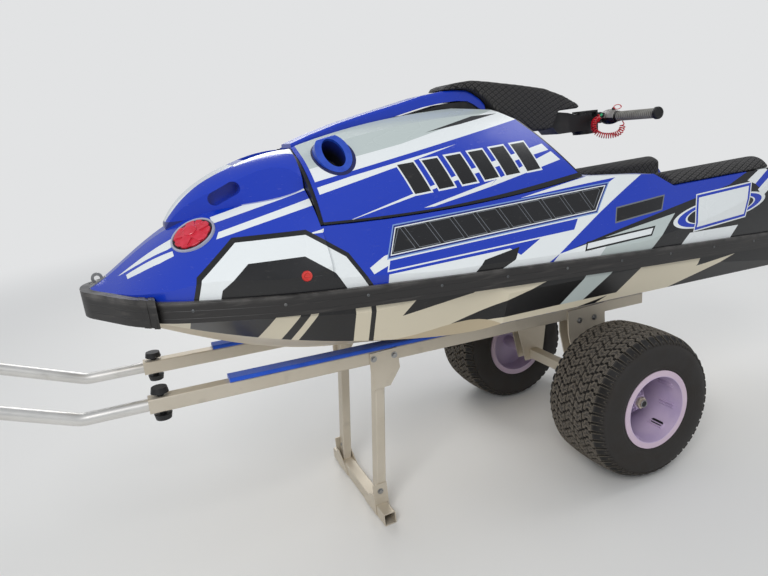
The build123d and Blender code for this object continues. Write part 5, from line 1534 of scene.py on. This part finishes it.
# Rings of the lanyard: radius and thickness as made, then place, axis and radii of each
RING_RADIUS = 0.0100
RING_WIRE = 0.0016
LANYARD_RINGS = (
    ((-0.0300, -0.0490, 0.0005), KEY_AXIS, (0.0098, 0.0098)),
    ((0.0020, -0.1010, 0.0290), (0.5, 0.8, 0.0), (0.0070, 0.0115)),
)


def ribbed(start, end, radius, depth, pitch):
    """Outline of a sleeve with fine rings, from a start to an end."""
    profile = [(start, radius * 0.8), (start, radius)]
    for index in range(int((end - start - 0.006) / pitch)):
        along = start + 0.003 + index * pitch
        for share, drop in ((0.0, 0.0), (0.3, depth), (0.6, depth), (0.85, 0.0)):
            profile.append((along + pitch * share, radius - drop))
    return profile + [(end, radius), (end, radius * 0.8)]


def make_bars():
    """Grips, end caps, switch pod, throttle pod and the stop key."""
    black = paint("black_plastic")
    sleeves = bmesh.new()
    ends = bmesh.new()
    sleeve = ribbed(GRIP_START - 0.003, SLEEVE_END, SLEEVE_RADIUS, RING_DEPTH, GRIP_PITCH)
    for side, _ in SIDES:
        axis = (0.0, side, 0.0)
        add_to(sleeves, lathe(sleeve, BAR, axis, 28))
        add_to(ends, lathe(GRIP_CAP, BAR, axis, 28))
        add_to(ends, lathe(GRIP_COLLAR, BAR, axis, 28))
    make_piece("grip_sleeves", sleeves, grip_rubber(), "bars", ["grips"], 50.0)
    make_piece("grip_ends", ends, black, "bars")

    pod = lathe(POD + POD_RIM, BAR, (0.0, PORT, 0.0), 40)
    about = Matrix.Translation(-BAR)
    bmesh.ops.scale(pod, verts=pod.verts, vec=(POD_FLATTEN, 1.0, 1.0), space=about)
    turn = Matrix.Rotation(POD_TILT, 3, "Y")
    bmesh.ops.rotate(pod, verts=pod.verts, cent=BAR, matrix=turn)
    replaced = ["control_housings"]
    piece = make_piece("switch_pod", pod, pod_plastic(), "bars", replaced, 60.0)
    smooth_out(piece)
    outline = [(along, out * THROTTLE_SCALE if out > 0.012 else out) for along, out in POD]
    small = lathe(outline + [(THROTTLE_END, BAR_RADIUS)], BAR, (0.0, STARBOARD, 0.0), 40)
    smooth_out(make_piece("throttle_pod", small, black, "bars", sharp=60.0))

    # Switch: black oval plate, green button, choke knob and stop key
    out = SWITCH_OUT.normalized()
    spot = BAR + SWITCH_AT + out * SWITCH_REACH
    turns = [radians(angle) for angle in range(0, 360, 15)]
    wide, high = SWITCH_PLATE
    oval = [(wide * cos(turn), high * sin(turn)) for turn in turns]
    plate = stand_on(slab(oval, 0.0016, 0.0008), spot, out, (0.0, 1.0, 0.0))
    make_piece("switch_plate", plate, black, "bars")
    above = spot + out * 0.0008 + Vector((0.0, 0.003, 0.0))
    knob_place = BAR + KNOB_PLACE
    key_place = BAR + KEY_PLACE
    for name, profile, place, axis, finish, slot in (
        ("start_button", START_BUTTON, above, out, paint("signal_plastic"), "switch_plastic"),
        ("choke_knob", CHOKE_KNOB, knob_place, (0.1, 0.15, 1.0), black, "switch_plastic"),
        ("stop_key", STOP_KEY, key_place, KEY_AXIS, metal("stainless"), "stainless"),
    ):
        make_piece(name, lathe(profile, place, axis, 20), finish, "bars")
    rings = bmesh.new()
    turns = [2 * pi * index / 8 for index in range(8)]
    wire = [(RING_WIRE * sin(turn), RING_RADIUS + RING_WIRE * cos(turn)) for turn in turns]
    for shift, axis, (width, height) in LANYARD_RINGS:
        loop = lathe(wire, Vector(), (0.0, 0.0, 1.0), 32)
        grow = (width / RING_RADIUS, height / RING_RADIUS, 1.0)
        bmesh.ops.scale(loop, verts=loop.verts, vec=grow)
        add_to(rings, stand_on(loop, BAR + Vector(shift), axis, (0.0, 0.0, 1.0)))
    make_piece("lanyard_rings", rings, lanyard_plastic(), "bars")


# Trolley: node, x from the axle, height and radius of each hexagon bolt
BOLTS = (
    ("stand_plates", -0.755, 0.494, 0.0062),
    ("stand_plates", -0.692, 0.491, 0.0062),
    ("foot_brackets", -0.784, 0.080, 0.0062),
    ("axle_hangers", -0.030, 0.440, 0.0065),
    ("axle_hangers", 0.030, 0.438, 0.0065),
)
# Screw behind each foot of the stand
FOOT_SCREW = (-1.1, 0.149, 0.086)
AXLE_RING = mm([(-4, 9.2), (-4, 12.2), (0.8, 12.2), (1.6, 11.4), (1.6, 10), (0.8, 9.2)])
# Black disc in a hollow axle end: painted shade
AXLE_BORE_SHADE = mm([(-3, 0), (-3, 9.4), (0.2, 9.4), (0.2, 0)])


def make_trolley():
    """Bolts of the trolley, and the rings of its axle's ends with black discs in their bores as
    painted shade.
    """
    bolts = bmesh.new()
    for side, _ in SIDES:
        inward = (0.0, -side, 0.0)
        for node, x, z, radius in BOLTS:
            place, normal = on_surface(node, at(x, side * 0.4, z), inward)
            add_to(bolts, hexagon_bolt(place, normal, radius))
        x, y, z = FOOT_SCREW
        place, normal = on_surface("stand_posts", at(x, side * y, z), (1.0, 0.0, 0.0))
        add_to(bolts, fastener(place, normal, 0.0055, 0.003))
    make_piece("trolley_bolts", bolts, metal("stainless"), "craft")
    rings = bmesh.new()
    bore_shades = bmesh.new()
    for side, _ in SIDES:
        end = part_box("axle_beam")[1].y + 0.0004
        centre = at(0.0, side * end, AXLE.z)
        add_to(rings, lathe(AXLE_RING, centre, (0.0, side, 0.0), 28))
        add_to(bore_shades, lathe(AXLE_BORE_SHADE, centre, (0.0, side, 0.0), 24))
    make_piece("axle_end_rings", rings, metal("stainless"), "craft")
    make_piece("axle_end_bore_shades", bore_shades, paint("black_plastic"), "craft")


# Screws of the ride plate: shares of its length, and distance from the middle
PLATE_SCREWS = (0.12, 0.5, 0.88)
PLATE_SCREWS_OUT = 0.095


def make_pump_details():
    """Screws of the ride plate."""
    screws = bmesh.new()
    low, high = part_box("ride_plate")
    for along in PLATE_SCREWS:
        for side, _ in SIDES:
            x = low.x + (high.x - low.x) * along
            below = Vector((x, side * PLATE_SCREWS_OUT, 0.2))
            place, normal = on_surface("ride_plate", below, (0.0, 0.0, 1.0))
            add_to(screws, fastener(place, normal, 0.0065, 0.003))
    make_piece("ride_plate_screws", screws, metal("stainless"), "craft")


def finish_shells():
    """Livery of the craft's shells."""
    place_material(deck_livery(), "deck")
    place_material(hull_livery(), "hull_bottom")
    place_material(hood_livery(), "hood")
    place_material(cover_livery(), "nose_cover")
    place_material(plain_gelcoat(), "pole_cover")
    place_material(vent_plastic(), "hood_vents")
    place_material(rail_rubber(), "bond_rail", "nose_bumper")


def finish_metalwork():
    """Finish of the frame, the pump and the other CAD nodes."""
    for finish, names in (
        (metal("satin_aluminium"), "rail_port rail_starboard axle_beam axle_hangers"),
        (metal("satin_aluminium"), "stand_crossbar stand_plates stand_posts foot_brackets"),
        (metal("handle_tube"), "tow_handle"),
        (bunk_felt(), "bunk_port bunk_starboard"),
        (paint("black_plastic"), "clamp_knobs throttle_lever"),
        (rim_paint(), "rim_port rim_starboard"),
        (metal("stainless"), "bow_eye pole_bracket impeller intake_grate"),
        (metal("pump_metal"), "pump_housing steering_nozzle ride_plate"),
        (metal("engine_metal"), "engine_block"),
        (paint("black_paint"), "pole_arm steering_fork handlebar"),
    ):
        place_material(finish, *names.split())


# Add-on
class MakeStage(bpy.types.Operator):
    """Add the floor, the soft studio lights and the camera"""

    bl_idname = "watercraft.stage"
    bl_label = "Stage and Camera"

    def execute(self, context):
        make_stage()
        return {"FINISHED"}


class MakeLanyard(bpy.types.Operator):
    """Add the curly lanyard of the stop switch"""

    bl_idname = "watercraft.lanyard"
    bl_label = "Lanyard"

    def execute(self, context):
        make_lanyard()
        return {"FINISHED"}


class FinishShells(bpy.types.Operator):
    """Paint the hull, deck, hood and covers"""

    bl_idname = "watercraft.shells"
    bl_label = "Painted Shells"

    def execute(self, context):
        finish_shells()
        return {"FINISHED"}


class FinishMetalwork(bpy.types.Operator):
    """Finish the trolley, pump, engine and pole"""

    bl_idname = "watercraft.metalwork"
    bl_label = "Metalwork"

    def execute(self, context):
        finish_metalwork()
        return {"FINISHED"}


class MakeTyres(bpy.types.Operator):
    """Add both tyres with their block tread"""

    bl_idname = "watercraft.tyres"
    bl_label = "Tyres"

    def execute(self, context):
        make_tyres()
        return {"FINISHED"}


class MakeRims(bpy.types.Operator):
    """Add the mould lines and valves of both rims"""

    bl_idname = "watercraft.rims"
    bl_label = "Rim Details"

    def execute(self, context):
        make_rims()
        return {"FINISHED"}


class MakeFoam(bpy.types.Operator):
    """Add the foam pads and the standing mat"""

    bl_idname = "watercraft.foam"
    bl_label = "Foam Pads"

    def execute(self, context):
        make_foam()
        return {"FINISHED"}


class MakeTrim(bpy.types.Operator):
    """Add the rail screws, bumper collars, hood gasket and vent throats"""

    bl_idname = "watercraft.trim"
    bl_label = "Rail and Hood Trim"

    def execute(self, context):
        make_rail_trim()
        make_gasket()
        make_vents()
        return {"FINISHED"}


class MakeBowFittings(bpy.types.Operator):
    """Add the bow eye's plate, the bungs and the fuel cap"""

    bl_idname = "watercraft.bow_fittings"
    bl_label = "Bow Fittings"

    def execute(self, context):
        make_bow_fittings()
        make_fuel_cap()
        return {"FINISHED"}


class MakeBars(bpy.types.Operator):
    """Add the grips, pods, switch and stop key"""

    bl_idname = "watercraft.bars"
    bl_label = "Bars"

    def execute(self, context):
        make_bars()
        return {"FINISHED"}


class MakeTrolleyDetails(bpy.types.Operator):
    """Add the bolts of the trolley and of the pump"""

    bl_idname = "watercraft.trolley"
    bl_label = "Trolley and Pump Details"

    def execute(self, context):
        make_trolley()
        make_pump_details()
        return {"FINISHED"}


OPERATORS = (
    MakeStage,
    MakeLanyard,
    FinishShells,
    FinishMetalwork,
    MakeTyres,
    MakeRims,
    MakeFoam,
    MakeTrim,
    MakeBowFittings,
    MakeBars,
    MakeTrolleyDetails,
)


class WatercraftPanel(bpy.types.Panel):
    """Lists the pieces, their colours and their sizes"""

    bl_idname = "VIEW3D_PT_watercraft"
    bl_label = "Watercraft"
    bl_space_type = "VIEW_3D"
    bl_region_type = "UI"
    bl_category = "Watercraft"

    def draw(self, context):
        for operator in OPERATORS:
            self.layout.operator(operator.bl_idname)
        for group in (context.scene.watercraft_colours, context.scene.watercraft_sizes):
            for name in group.__annotations__:
                self.layout.prop(group, name)


CLASSES = (WatercraftColours, WatercraftSizes, *OPERATORS, WatercraftPanel)


def register():
    for part in CLASSES:
        bpy.utils.register_class(part)
    bpy.types.Scene.watercraft_colours = PointerProperty(type=WatercraftColours)
    bpy.types.Scene.watercraft_sizes = PointerProperty(type=WatercraftSizes)


def unregister():
    del bpy.types.Scene.watercraft_sizes
    del bpy.types.Scene.watercraft_colours
    for part in reversed(CLASSES):
        bpy.utils.unregister_class(part)


def main():
    register()
    for operator in OPERATORS:
        group, name = operator.bl_idname.split(".")
        getattr(getattr(bpy.ops, group), name)()
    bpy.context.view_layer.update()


if __name__ == "__main__":
    main()
